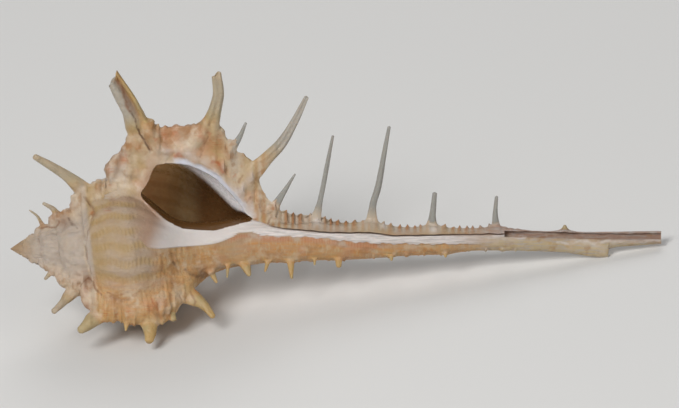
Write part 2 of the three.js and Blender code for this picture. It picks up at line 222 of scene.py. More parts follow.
@dataclass(frozen=True)
class Spiral:
    """Growth of the shell: everything a turn older is the same, but smaller."""

    growth: float = 1.57
    pole: float = 0.3
    suture: float = 10.43
    girth_at_zero: float = 9.29
    lip: float = 381.0
    turns: int = 6
    slimming: float = 0.16
    slim_from: float = 180.0

    def size(self, angle: Array) -> Array:
        """Size at a growth angle against the size at 0."""
        return self.growth ** (np.asarray(angle, float) / TURN)

    def girth(self, angle: Array) -> Array:
        """Radius of one girth at a growth angle."""
        return self.girth_at_zero * self.size(angle + self.slimming * np.minimum(angle - self.slim_from, 0))

    def sutures(self, x: Array, angle: Array) -> Array:
        """Distance of a place from the pole, in sutures of the whorl at a growth angle."""
        return (x - self.pole) / (self.suture * self.size(angle))

    def turns_back(self, x: Array, angle: Array) -> Array:
        """Count the turns from the last whorl back to the one that shows.

        Args:
            x: Places along the axis.
            angle: Growth angles on the last whorl.

        Returns:
            Whole turns, 0 on the last whorl.
        """
        back = np.zeros(np.broadcast(x, angle).shape)
        for turn in range(self.turns):
            back = np.where((back == turn) & (self.sutures(x, angle - TURN * turn) < 1), turn + 1, back)
        return back


@dataclass(frozen=True)
class Canal:
    """Canal round the axis: an oval tube, with the broken older layer below it."""

    top: Curve = Curve((
        (0, 3.1), (30, 3.1), (43.2, 3.3), (48.5, 2.97), (51.9, 2.63), (56.8, 2.16), (63, 1.74), (77, 1.55),
        (80.8, 1.18), (88.3, 0.99), (100, 1.08),
    ))
    bottom: Curve = Curve((
        (0, 3.1), (30, 3.1), (38.6, 3.3), (42.2, 3.4), (46.1, 3.19), (54.7, 2.97), (59.1, 2.62),
        (66.8, 2.3), (71.9, 1.8), (79.4, 1.88), (85.1, 2.16), (89.6, 2.82), (91.8, 2.95), (92.0, 1.69),
        (93.4, 1.35), (96.8, 1.1), (100, 0.92),
    ))
    side: Curve = Curve(((0, 3), (30, 3), (45, 2.9), (60, 2.2), (75, 1.6), (90, 1.05), (100, 0.95)))
    start: Pair = (1.25, 1.9)
    blend: float = 3.0

    def radius(self, x: Array, angle: Array) -> Array:
        """Radius of the tube at a place and an angle."""
        up = cos_deg(angle)
        height = np.where(up > 0, self.top(x), self.bottom(x))
        return 1 / np.hypot(up / height, sin_deg(angle) / self.side(x))


@dataclass(frozen=True)
class Spine:
    """One spine: points along it as place, radius and width, and how it is made."""

    path: Rows
    open: bool = False
    thin: bool = False
    groove_at: float = 90.0
    ivory: float = 0.0
    dark: float = 0.5
    slant: float = 0.0


LIP_SPINES = (
    Spine(((20.4, 18.1, 4.2), (18.9, 22.3, 3.0), (17.35, 25.3, 2.7), (16.2, 27.3, 2.3)), open=True,
          groove_at=68, ivory=0.9, dark=0.7, slant=0.36),
    Spine(((30.6, 18.8, 3.2), (31.7, 22.1, 1.9), (32.2, 24.8, 1.7), (31.9, 27.5, 1.5)), open=True,
          ivory=0.55, dark=0.1, slant=0.2),
    Spine(((34.3, 15.4, 1.4), (35.4, 17.3, 0.8), (36.3, 19.4, 0.4)), thin=True),
    Spine(((37.5, 11.5, 2.9), (39.7, 13.7, 2.0), (41.6, 15.7, 1.7), (43.8, 19.5, 1.2),
           (45.6, 23.4, 0.7)), open=True, ivory=1.0, dark=0.0),
    Spine(((40.7, 5.6, 1.5), (42.4, 8.5, 0.7), (43.8, 10.8, 0.3)), thin=True),
    Spine(((47.0, 3.4, 1.7), (47.7, 6.6, 0.8), (48.6, 11.7, 0.7), (49.6, 17.0, 0.4)), thin=True),
    Spine(((55.5, 2.7, 2.0), (55.7, 5.5, 1.1), (56.5, 8.5, 1.0), (57.3, 13.1, 0.8),
           (58.2, 18.4, 0.5)), thin=True),
    Spine(((64.8, 2.0, 1.8), (64.9, 4.0, 1.0), (65.2, 7.5, 0.7)), thin=True),
    Spine(((74.6, 2.0, 1.4), (74.5, 3.9, 0.8), (74.7, 6.9, 0.5)), thin=True),
    Spine(((85.2, 1.2, 1.2), (85.2, 2.1, 0.5))),
    Spine(((11.8, 9.0, 3.0), (9.0, 11.65, 1.7), (6.4, 13.6, 1.3), (4.0, 15.1, 0.9)), ivory=0.5),
    Spine(((7.4, 5.3, 1.3), (6.7, 6.5, 0.8), (5.2, 7.4, 0.5)), ivory=0.7),
    Spine(((4.9, 4.1, 0.6), (4.2, 5.4, 0.4), (3.1, 6.3, 0.25)), ivory=0.6),
)
FRONT_SPINES = (
    Spine(((6.5, 4.1, 0.9), (5.5, 5.4, 0.5)), ivory=0.6),
    Spine(((9.4, 8.2, 2.1), (8.2, 9.7, 1.2), (6.9, 11.2, 0.9)), ivory=0.6),
    Spine(((13.6, 12.2, 2.9), (12.2, 13.5, 2.0), (11.0, 14.6, 1.2))),
    Spine(((18.1, 13.5, 1.0), (18.0, 14.8, 0.3))),
    Spine(((21.6, 13.4, 2.9), (21.7, 15.3, 1.9), (21.6, 16.8, 1.3))),
    Spine(((24.4, 11.6, 2.1), (25.4, 13.3, 0.8))),
    Spine(((27.8, 9.2, 2.8), (29.8, 10.8, 1.5), (31.3, 13.0, 0.8))),
    Spine(((31.0, 5.3, 1.1), (31.8, 7.0, 0.4))),
    Spine(((33.5, 4.5, 0.6), (33.4, 6.2, 0.25))),
    Spine(((36.2, 4.3, 1.6), (36.8, 6.0, 0.6))),
    Spine(((39.6, 3.8, 0.8), (39.2, 5.4, 0.3))),
    Spine(((43.1, 3.9, 1.2), (43.3, 6.7, 0.4))),
    Spine(((46.8, 3.4, 0.6), (46.8, 4.4, 0.25))),
    Spine(((50.5, 3.4, 1.2), (50.5, 4.7, 0.8))),
    Spine(((58.5, 2.8, 0.9), (58.6, 3.7, 0.4))),
    Spine(((66.8, 2.3, 0.9), (66.9, 3.2, 0.35))),
)
BACK_SPINES = (
    Spine(((4.5, 3.4, 0.6), (3.8, 4.7, 0.25))),
    Spine(((6.9, 5.4, 1.1), (5.8, 7.2, 0.5))),
    Spine(((10.7, 8.8, 2.2), (9.0, 11.0, 1.2), (7.6, 13.2, 0.8))),
    Spine(((16.9, 13.8, 3.4), (15.5, 19.0, 2.4), (14.4, 24.5, 1.9), (13.8, 31.0, 1.4)), open=True),
    Spine(((21.6, 15.4, 1.1), (21.8, 17.6, 0.4))),
    Spine(((25.6, 15.2, 2.8), (26.3, 20.5, 1.8), (26.8, 25.5, 1.5), (26.9, 31.0, 1.2)), open=True),
    Spine(((32.2, 9.5, 2.4), (34.0, 13.5, 1.7), (36.0, 17.5, 1.4), (38.0, 21.5, 0.9)), open=True),
    Spine(((36.5, 5.2, 1.2), (38.0, 8.2, 0.5)), thin=True),
    Spine(((41.5, 3.6, 1.6), (42.6, 8.0, 0.8), (44.0, 13.0, 0.6), (45.0, 16.5, 0.4)), thin=True),
    Spine(((48.7, 2.9, 1.6), (49.5, 7.0, 0.8), (50.5, 12.0, 0.6)), thin=True),
    Spine(((57.5, 2.3, 1.4), (58.0, 6.0, 0.7), (58.5, 9.0, 0.5)), thin=True),
    Spine(((66.5, 1.8, 1.2), (67.0, 4.5, 0.6)), thin=True),
    Spine(((75.5, 1.4, 0.9), (75.7, 3.6, 0.5)), thin=True),
)

SPINES = {Row.LIP: LIP_SPINES, Row.FRONT: FRONT_SPINES, Row.BACK: BACK_SPINES}


@dataclass(frozen=True)
class Form:
    """Whole outer form of the shell, as a radius round its axis."""

    spiral: Spiral = Spiral()
    canal: Canal = Canal()
    length: float = 100.0
    axis: Curve = Curve(((0, -0.6), (7, -0.48), (21.5, -0.08), (44.5, 0.77), (100, 1.08)))
    whorl: Curve = Curve((
        (0, 0.6), (1, 0.655), (1.05, 0.72), (1.12, 0.81), (1.22, 0.895), (1.35, 0.965), (1.48, 0.995),
        (1.57, 1), (1.68, 0.965), (1.82, 0.87), (1.93, 0.77), (2.03, 0.66), (2.17, 0.505), (2.33, 0.37),
        (2.52, 0.27), (2.7, 0.22), (3, 0.12), (3.3, 0),
    ))
    crest: Curve = Curve((
        (0.8, 0.5), (0.85, 0.6), (0.865, 0.83), (0.92, 0.93), (0.99, 1.02), (1.064, 1.1), (1.2, 1.22),
        (1.355, 1.26), (1.536, 1.3), (1.7, 1.29), (1.9, 1.22), (1.973, 1.1), (2.045, 1.01), (2.164, 0.87),
        (2.24, 0.69), (2.28, 0.58), (2.355, 0.424), (2.427, 0.347), (2.6, 0.28), (2.9, 0.2), (3.2, 0),
    ))
    worn: Curve = Curve((
        (0.95, 0), (1.2, 0.3), (1.5, 0.4), (1.68, 0.65), (1.95, 0.7), (2.1, 0.8), (2.3, 0.7), (2.6, 0.35),
        (3, 0),
    ))
    worn_lip: Curve = Curve((
        (0.7, 0.9), (0.85, 1.0), (0.87, 2.9), (0.888, 2.6), (0.91, 0.95), (0.95, 0.65), (1.1, 0.4),
        (1.3, 0.2), (1.5, 0.1), (1.7, 0),
    ))
    worn_old_lip: float = 1.2
    worn_old_reach: Reach = (1.0, 1.12, 1.3, 1.5)
    old_crest: float = 0.93
    varix_back: float = 26.0
    varix_front: float = 14.0
    varix_end: Pair = (1.5, 1.66)
    rib_step: float = 14.4
    rib_crest: float = 82.8
    rib_height: float = 0.09
    old_rib: float = 0.5
    rib_reach: Reach = (1.02, 1.12, 1.95, 2.25)
    knob: float = 0.34
    knob_reach: Reach = (0.93, 1.0, 2.25, 2.5)
    flare_height: float = 0.36
    flare_reach: float = 0.78
    flare_least: float = 0.45
    foot_angle: float = 26.0
    lip_foot: Curve = Curve((
        (14.7, 9.2), (17, 10.2), (20, 11.4), (22, 13.7), (24.7, 14.1), (27, 13.7), (29.3, 12.5),
        (31.4, 10.8), (33.2, 8.9), (34.3, 7.3), (35.3, 6.2), (36.9, 4.8), (38.5, 4), (41, 3.7),
    ))
    inner_edge: Curve = Curve((
        (14.7, 42), (20.1, 36), (22, 46), (23.5, 55), (25.5, 58), (28.4, 58), (31.8, 54), (34.1, 48),
        (36.3, 40), (37.5, 34), (41, 30),
    ))
    lip_reach: Pair = (14.7, 41.0)

    def point(self, x: Array, angle: Array, radius: Array) -> Array:
        """Points of the shell's own frame, one a row, from places, angles and radii."""
        x, angle, radius = np.broadcast_arrays(np.asarray(x, float), angle, radius)
        return np.stack([x, self.axis(x) + radius * cos_deg(angle), radius * sin_deg(angle)], axis=-1)

    def places(self, points: Array) -> Places:
        """Work out where points lie on the shell.

        Args:
            points: Points of the shell's own frame.

        Returns:
            The points with their growth angles and radii.
        """
        x, y = points[:, 0], points[:, 1]
        up = y - self.axis(x)
        angle = np.degrees(np.arctan2(points[:, 2], up))
        angle = np.mod(angle - Row.LIP.value, TURN) + Row.LIP.value
        return Places(points, x, y, angle, np.hypot(up, points[:, 2]))

    def measure(self, place: Places, face: Array) -> tuple[Array, Array, Array]:
        """Find the whorl of each point and where it lies on it.

        Args:
            place: Points of the shell.
            face: 1 on the lip's face.

        Returns:
            Turns back from the last whorl, growth angles, and distances from the pole in sutures.
        """
        back = self.spiral.turns_back(place.x, place.angle)
        growth = np.where(face > 0.5, self.spiral.lip, place.angle - TURN * back)
        return back, growth, self.spiral.sutures(place.x, growth)

    def rib_wave(self, angle: Array) -> Array:
        """Wave of the ribs: 1 on a rib, -1 between two."""
        return cos_deg((angle - self.rib_crest) * TURN / self.rib_step)

    def waver(self, u: Array, angle: Array) -> Array:
        """Let the cords stray a little from their even spiral."""
        return u + 0.009 * np.sin(np.radians(7 * angle)) + 0.006 * np.sin(np.radians(17 * angle + 40))

    def bare(self, x: Array, angle: Array) -> Array:
        """Radius of the whorl that shows with its ribs, blended with the canal.

        Args:
            x: Places along the axis.
            angle: Growth angles on the last turn.

        Returns:
            Radii.
        """
        back = self.spiral.turns_back(x, angle)
        growth = angle - TURN * back
        u = self.spiral.sutures(x, growth)
        scale = self.spiral.size(-TURN * back)
        ribs = self.rib_height * scale * within(self.rib_reach, u) * self.rib_wave(angle)
        ribs = ribs * np.where(back > 0, self.old_rib, 1)
        body = np.maximum(self.spiral.girth(growth) * self.whorl(u) + ribs, 0)
        tube = np.where(back > 0, 0, self.canal.radius(x, angle) * ease(*self.canal.start, u))
        return (body ** self.canal.blend + tube ** self.canal.blend) ** (1 / self.canal.blend)

    def crest_radius(self, x: Array, angle: Array) -> Array:
        """Radius of a varix crest, with its knobs, at its own growth angle.

        Args:
            x: Places along the axis.
            angle: Growth angle of the varix at each place.

        Returns:
            Radii.
        """
        u = self.spiral.sutures(x, angle)
        uneven = 0.65 + 0.35 * np.sin(9.1 * u + 2)
        knobs = np.maximum(CORDS(u), 0) * uneven * within(self.knob_reach, u)
        scale = self.spiral.size(angle - self.spiral.lip)
        worn = self.worn(u) + np.where(angle > TURN, self.worn_lip(u), 0)
        worn = worn + np.where(angle < Row.FRONT.value, self.worn_old_lip, 0) * within(self.worn_old_reach, u)
        return self.spiral.girth(angle) * self.crest(u) + scale * (self.knob * knobs - worn)

    def varices(self, x: Array, angle: Array, bare: Array) -> tuple[Array, Array]:
        """Add the varices of the whorl that shows and of the one that laps over it.

        Args:
            x: Places along the axis.
            angle: Growth angles on the last turn.
            bare: Radii without varices.

        Returns:
            Radii with varices, and the share of a varix at each point.
        """
        back = self.spiral.turns_back(x, angle)
        radius, most = bare.copy(), np.zeros(bare.shape)
        for turns in (back, back - 1):
            growth = angle - TURN * turns
            for row in Row:
                varix = row.value + TURN * np.round((growth - row.value) / TURN)
                away = growth - varix
                width = np.where(away < 0, self.varix_back, self.varix_front)
                share = np.where(np.abs(away) < width, 0.5 + 0.5 * cos_deg(180 * away / width), 0)
                share = np.where((varix > self.spiral.lip) | (growth > self.spiral.lip), 0, share)
                under = 1 - ease(*self.varix_end, self.spiral.sutures(x, varix))
                share = np.where(varix == Row.LIP.value, share * under, share)
                height = np.where(varix == self.spiral.lip, 1.0, self.old_crest)
                lifted = bare + (self.crest_radius(x, varix) * height - bare) * share
                most = np.where(lifted > radius, share, most)
                radius = np.maximum(radius, lifted)
        return radius, most

    def flares(self, x: Array, angle: Array) -> Array:
        """Height of the flared feet that the spines grow from.

        Args:
            x: Places along the axis.
            angle: Growth angles on the last turn.

        Returns:
            Heights, 0 in front of the lip, where its face stands.
        """
        height = np.zeros(np.broadcast(x, angle).shape)
        for row, spines in SPINES.items():
            away = row.away(angle)
            in_front = (away > 0) & (x > self.lip_reach[0]) & (x < self.lip_reach[1])
            shown = np.where(in_front & (row is Row.LIP), 0, 1)
            for spine in spines:
                place, radius, width = spine.path[0]
                reach = self.flare_reach * width + self.flare_least
                bump = blob(x - place, np.radians(away) * radius, reach)
                height = height + self.flare_height * width * bump * shown
        return height

    def chord(self, near: tuple[float, Array], far: tuple[object, Array],
              angle: Array) -> Array:
        """Radius of a straight line between two points round the axis.

        Args:
            near: Angle and radius of the first point.
            far: Angle and radius of the second.
            angle: Angles between them.

        Returns:
            Radii of the line at those angles.
        """
        between = sin_deg(far[0] - near[0])
        first = near[1] * sin_deg(angle - near[0])
        second = far[1] * sin_deg(far[0] - angle)
        return near[1] * far[1] * between / np.maximum(first + second, 1e-6)

    def lip_face(self, x: Array, angle: Array) -> Array:
        """Radius of the lip's front and of the closed plane of the opening, 0 elsewhere.

        Args:
            x: Places along the axis.
            angle: Growth angles on the last turn.

        Returns:
            Radii.
        """
        inner = self.inner_edge(x)
        lip = np.full_like(x, self.spiral.lip)
        crest = self.crest_radius(x, lip) + self.flares(x, lip)
        foot = self.lip_foot(x)
        front = self.chord((Row.LIP.value, crest), (self.foot_angle, foot), angle)
        plane = self.chord((self.foot_angle, foot), (inner, self.bare(x, inner)), angle)
        face = np.where(angle < self.foot_angle, front, plane)
        outside = (x < self.lip_reach[0]) | (x > self.lip_reach[1]) | (angle >= inner)
        return np.where(outside, 0, face)

    def surface(self, x: Array, angle: Array) -> tuple[Array, Array, Array]:
        """Outer surface of the whole shell, its opening closed by a plane.

        Args:
            x: Places along the axis.
            angle: Growth angles on the last turn.

        Returns:
            Radii, share of a varix, and 1 on the lip's face.
        """
        bare = self.bare(x, angle)
        radius, share = self.varices(x, angle, bare)
        radius = radius + self.flares(x, angle)
        face = self.lip_face(x, angle)
        return np.maximum(radius, face), share, (face > radius).astype(float)


@dataclass(frozen=True)
class Fold:
    """Line on the front of the shell, in place and height, that stands up or is sunk in."""

    line: Rows
    height: float
    width: float
    fade: float = 0.0

    def share(self, points: Array) -> Array:
        """Nearness to the line, 1 on it and less towards its end where it fades.

        Args:
            points: Points of the shell's own frame.

        Returns:
            Shares from 0 to 1, 0 behind the shell.
        """
        nearest = np.full(len(points), np.inf)
        left = np.ones(len(points))
        corners = np.array(self.line)
        legs = len(corners) - 1
        for leg, (a, b) in enumerate(zip(corners[:-1], corners[1:])):
            along = b - a
            t = np.clip((points[:, :2] - a) @ along / (along @ along), 0, 1)
            gap = np.hypot(*(points[:, :2] - a - t[:, None] * along).T)
            left = np.where(gap < nearest, 1 - self.fade * (leg + t) / legs, left)
            nearest = np.minimum(nearest, gap)
        return left * np.exp(-(nearest / self.width) ** 2) * (points[:, 2] > 0)


FOLDS = (
    Fold(((17.6, 22.0), (18.3, 18.0), (19.4, 15.4), (20.8, 13.6)), 1.1, 0.95, 0.5),
    Fold(((19.6, 21.0), (21.6, 17.6), (23.2, 15.0), (24.2, 14.4)), 1.3, 1.0, 0.6),
    Fold(((30.6, 18.6), (29.2, 16.6), (27.8, 14.9), (27.0, 14.2)), 0.9, 1.2, 0.6),
    Fold(((32.0, 20.4), (31.7, 17.4), (31.4, 15.0), (30.8, 13.2)), 0.6, 1.2, 0.5),
    Fold(((38.9, 12.6), (37.0, 10.6), (35.3, 8.6)), 1.1, 0.9, 0.5),
    Fold(((34.6, 16.0), (33.6, 13.6), (32.2, 11.4)), 0.7, 0.6, 0.5),
    Fold(((40.6, 6.0), (39.4, 5.2), (38.2, 4.4)), 0.5, 0.5, 0.5),
    Fold(((20.9, 14.6), (23.0, 14.5), (25.6, 14.6), (27.6, 13.9), (29.8, 12.7), (31.8, 11.1),
          (33.6, 9.2), (35.2, 7.2)), 0.3, 0.5),
    Fold(((22.3, 13.6), (21.9, 10.8), (20.1, 8.5), (17.6, 7.5)), 0.25, 0.8),
    Fold(((15.2, 15.2), (16.2, 13.2), (15.6, 11.4)), 0.6, 0.9, 0.3),
    Fold(((18.2, 14.6), (18.8, 12.2), (17.9, 9.9)), 0.5, 0.8, 0.3),
    Fold(((14.0, 11.6), (16.8, 11.8), (19.4, 11.0)), 0.35, 0.6, 0.3),
    Fold(((11.2, 8.6), (13.0, 6.6), (14.6, 4.6)), 0.5, 0.7, 0.5),
    Fold(((36.0, -8.2), (32.5, -8.8), (29.4, -7.0)), 0.5, 0.7),
    Fold(((13.4, 3.9), (11.7, -0.1), (12.4, -4.0)), 0.2, 0.3),
    Fold(((13.8, 9.0), (15.0, 9.3)), 0.5, 0.6),
)

SEAMS = (
    Fold(((18.8, 20.4), (20.1, 18.0), (20.9, 16.2), (21.9, 14.6)), -0.45, 0.16),
    Fold(((31.3, 20.6), (30.4, 17.3), (29.4, 14.6)), -0.4, 0.2, 0.3),
    Fold(((17.2, 14.4), (17.0, 12.4), (16.4, 10.4)), -0.15, 0.4, 0.5),
    Fold(((11.8, 7.2), (12.9, 5.7), (13.3, 4.8)), -0.14, 0.18, 0.3),
    Fold(((33.9, -4.0), (30.8, -5.2), (28.6, -3.4)), -0.22, 0.4, 0.3),
    Fold(((31.9, -9.4), (31.2, -7.6), (29.9, -6.0)), -0.22, 0.35, 0.3),
    Fold(((15.8, -7.8), (17.2, -8.4), (18.6, -8.2)), -0.15, 0.3, 0.3),
)

SPOTS = {
    "stain": (
        (26.1, 13.7, 0.42), (26.4, 13.2, 0.35), (8.3, 3.5, 1.0), (32.3, 12.1, 0.3), (32.8, 11.6, 0.3),
        (33.1, 11.0, 0.28), (18.4, 13.75, 0.2), (13.1, 4.7, 0.35), (15.5, 5.5, 0.35), (22.9, -9.3, 0.45),
        (24.2, -9.2, 0.35), (22.7, -10.6, 0.5), (11.9, -9.3, 0.4),
    ),
    "fleck": (
        (14.9, -10.4, 0.75), (16.5, -10.5, 0.5), (18.4, -10.3, 0.7), (13.3, -10.8, 0.6), (31.9, 15.5, 0.9),
        (26.2, 13.5, 0.4), (32.5, 12.0, 0.6), (23.8, 16.6, 0.9), (25.4, 17.2, 0.7), (28.8, 16.9, 0.8),
        (17.6, 13.0, 0.6), (15.6, 11.4, 0.5), (23.2, -8.4, 0.9), (15.2, 5.4, 0.4), (12.9, 4.9, 0.35),
        (21.6, -9.6, 0.7), (11.8, -10.2, 0.6),
    ),
    "amber": (
        (23.2, 15.6, 1.1), (21.6, 16.4, 0.9), (20.0, 14.8, 0.7), (18.4, 15.2, 0.9), (16.4, 12.9, 0.9),
        (30.9, 15.6, 0.9), (32.0, 15.2, 0.8), (32.8, 11.6, 0.6), (14.2, 9.0, 0.7), (29.2, -4.2, 1.3),
        (31.6, -7.4, 0.9), (16.2, -8.2, 0.9), (24.2, -10.4, 0.9), (9.3, 5.2, 0.9), (34.2, 13.6, 0.6),
        (33.4, 14.6, 0.7), (24.6, 17.7, 1.3), (27.4, 17.5, 1.2), (22.4, 18.0, 0.9), (29.2, 17.8, 0.8),
        (8.0, 5.0, 0.6), (30.9, -6.0, 0.9), (25.2, -6.0, 0.8),
    ),
    # bone: pale patches; the one at place 26.2 low on the whorl is a painted highlight
    "bone": (
        (27.5, 15.2, 1.0), (25.8, 14.9, 0.9), (20.8, 10.6, 0.9), (21.4, 13.1, 0.8), (34.7, 8.4, 0.9),
        (36.2, 6.9, 0.8), (36.7, 9.2, 1.0), (38.0, 7.6, 0.9), (10.0, 4.6, 0.9), (16.9, 9.4, 1.3),
        (26.2, -7.7, 1.1), (19.2, -7.8, 0.8), (12.8, -7.6, 1.0), (13.6, 7.2, 1.0), (24.0, 13.9, 0.7),
        (30.0, 12.9, 0.8), (22.4, -12.0, 0.8),
    ),
    "knot": (
        (74.6, 1.3, 0.5), (75.8, 1.35, 0.5), (77.2, 1.3, 0.5), (78.6, 1.1, 0.4), (89.9, 0.1, 0.5),
        (92.8, 0.4, 0.4), (86.5, 0.6, 0.5), (88.3, 0.4, 0.4), (37.4, 4.6, 0.5), (57.4, 3.0, 0.4),
        (65.0, 2.4, 0.6), (47.2, 3.6, 0.5),
    ),
}

STROKES = (
    # painted shadow: brown in the open channel at the tip of the big lip spine
    (((16.8, 25.6), (17.9, 22.9), (18.75, 20.5)), 0.5, 0.75, "brown"),
    (((18.75, 20.5), (19.6, 18.5), (20.6, 16.2), (21.6, 14.2)), 0.26, 0.9, "umber"),
    (((30.4, 16.6), (29.8, 14.8), (29.3, 13.4)), 0.22, 0.5, "brown"),
    (((25.3, 13.5), (26.0, 13.95), (26.7, 13.4)), 0.42, 0.8, "rust"),
    (((31.2, 12.8), (32.0, 12.7), (32.5, 11.9), (32.8, 11.1)), 0.4, 0.75, "rust"),
    (((11.4, 7.3), (12.0, 6.5), (12.5, 5.7)), 0.2, 0.8, "umber"),
    (((9.1, 4.2), (9.6, 3.2), (10.4, 2.6)), 0.3, 0.6, "umber"),
    (((4.9, 2.6), (7.1, 2.8), (7.6, 3.6)), 0.26, 0.6, "brown"),
    (((13.0, 4.4), (12.15, 2.2), (11.95, 0.0), (12.1, -2.2), (12.6, -4.4)), 0.2, 0.4, "brown"),
    (((12.7, 4.4), (11.85, 2.2), (11.65, 0.0), (11.8, -2.2), (12.3, -4.4)), 0.26, 0.7, "chalk"),
    # painted highlight along the top edge of the opening
    (((21.7, 14.1), (22.4, 13.0), (23.9, 12.7), (25.3, 12.5), (25.9, 12.9)), 0.55, 0.6, "chalk"),
    (((21.6, 12.3), (21.4, 10.9), (20.6, 9.3), (19.4, 8.5)), 1.3, 0.85, "chalk"),
    (((16.2, 8.4), (18.2, 8.9), (20.2, 10.4)), 1.3, 0.55, "chalk"),
    (((15.6, 6.6), (17.8, 7.2), (19.4, 7.0)), 0.7, 0.5, "film"),
    (((36.4, 6.5), (37.1, 7.3)), 0.26, 0.6, "brown"),
    (((38.3, 6.3), (38.7, 5.1)), 0.26, 0.6, "brown"),
    (((39.6, 3.4), (40.2, 4.6)), 0.26, 0.6, "brown"),
    (((35.2, 9.6), (35.9, 10.6)), 0.26, 0.5, "brown"),
    (((12.2, -5.1), (12.9, -5.6), (13.5, -6.8), (14.3, -7.5)), 0.22, 0.7, "brown"),
    (((11.0, -6.3), (11.5, -5.5), (12.2, -5.1)), 0.2, 0.6, "brown"),
    (((24.8, -1.2), (25.0, -2.3), (25.6, -3.1), (25.9, -4.4)), 0.34, 0.6, "umber"),
    (((23.3, -1.4), (23.6, -3.0), (23.3, -4.6)), 0.3, 0.45, "brown"),
    # painted shade below a ridge; the next line is the painted highlight on that ridge
    (((27.0, -3.9), (28.3, -4.6), (30.0, -4.9), (31.6, -4.3)), 0.36, 0.6, "umber"),
    (((26.6, -3.1), (28.2, -3.2), (30.2, -2.8), (32.2, -2.4)), 0.4, 0.45, "chalk"),
    (((31.8, -8.0), (32.6, -6.8), (33.9, -5.9)), 0.3, 0.6, "umber"),
    (((27.9, -7.2), (28.6, -8.6), (28.2, -9.8)), 0.26, 0.5, "brown"),
    (((26.0, -7.4), (26.6, -9.2), (26.3, -10.6)), 0.24, 0.5, "brown"),
    (((15.2, -7.2), (16.4, -7.6), (17.6, -7.5), (18.6, -7.0)), 0.26, 0.5, "brown"),
    (((22.0, -8.2), (22.8, -10.0), (23.6, -11.6)), 0.3, 0.45, "rust"),
    # painted highlight along the lower edge of the slit
    (((73.6, 1.15), (75.5, 1.5), (79.2, 1.25)), 0.3, 0.8, "white"),
    (((84.0, 0.3), (85.7, 0.1), (87.9, 0.7), (89.7, 0.15), (91.9, 0.5), (93.2, 0.8), (95.4, 0.5),
      (99.8, 0.65)), 0.3, 0.75, "white"),
)

CARRIED = ("hollow", "depth", "rim", "way", "thin", "shade", "ivory")


def grain(points: Array, scale: float, seed: float) -> Array:
    """Smooth noise from about -1 to 1 at points, the same each run and moved aside by a seed."""
    shift = Vector((seed, 2 * seed, 3 * seed))
    return np.array([noise.noise(Vector(p) * scale + shift) for p in points.tolist()])


@dataclass(frozen=True)
class Grit:
    """Noise that roughens the skin: how fine and how high it is, and where."""

    scale: float
    seed: float
    height: float
    on_varix: float = 0.0
    reach: Reach = (-2, -1, 101, 102)

    def rise(self, place: Places, rough: Array) -> Array:
        """Height of the noise in millimetres, where rough is 1 on a varix and the lip's face."""
        height = (self.height + self.on_varix * rough) * within(self.reach, place.x)
        return grain(place.points, self.scale, self.seed) * height


LUMPS = (Grit(0.7, 5.0, 0.06, 0.17), Grit(0.38, 13.0, 0.0, 0.22), Grit(1.9, 7.0, 0.04, 0.08))
WRINKLES = (Grit(1.1, 11.0, 0.24, 0.0, (1, 3, 10.5, 13)), Grit(2.6, 15.0, 0.064, 0.096, (1.5, 3, 9.5, 12)))


@dataclass(frozen=True)
class Groove:
    """Narrow cut into the front of the canal, its floor a share of the canal's side."""

    line: Curve
    ends: Pair
    width: float
    floor: float
    shade: float


SLIT = Groove(Curve(((36.4, 4.15), (39, 3.44), (40.6, 2.76), (44.6, 2.3), (49.9, 1.9), (55.5, 1.84),
                     (59.1, 1.43), (66, 1.54), (76, 1.69))), (36.4, 76.2), 0.24, 0.66, 0.6)
GUTTER = Groove(Curve(((75.8, 1.69), (84.5, 1.5), (92.2, 1.32), (101, 1.35))), (75.9, 101), 0.95, 0.15, 0.25)


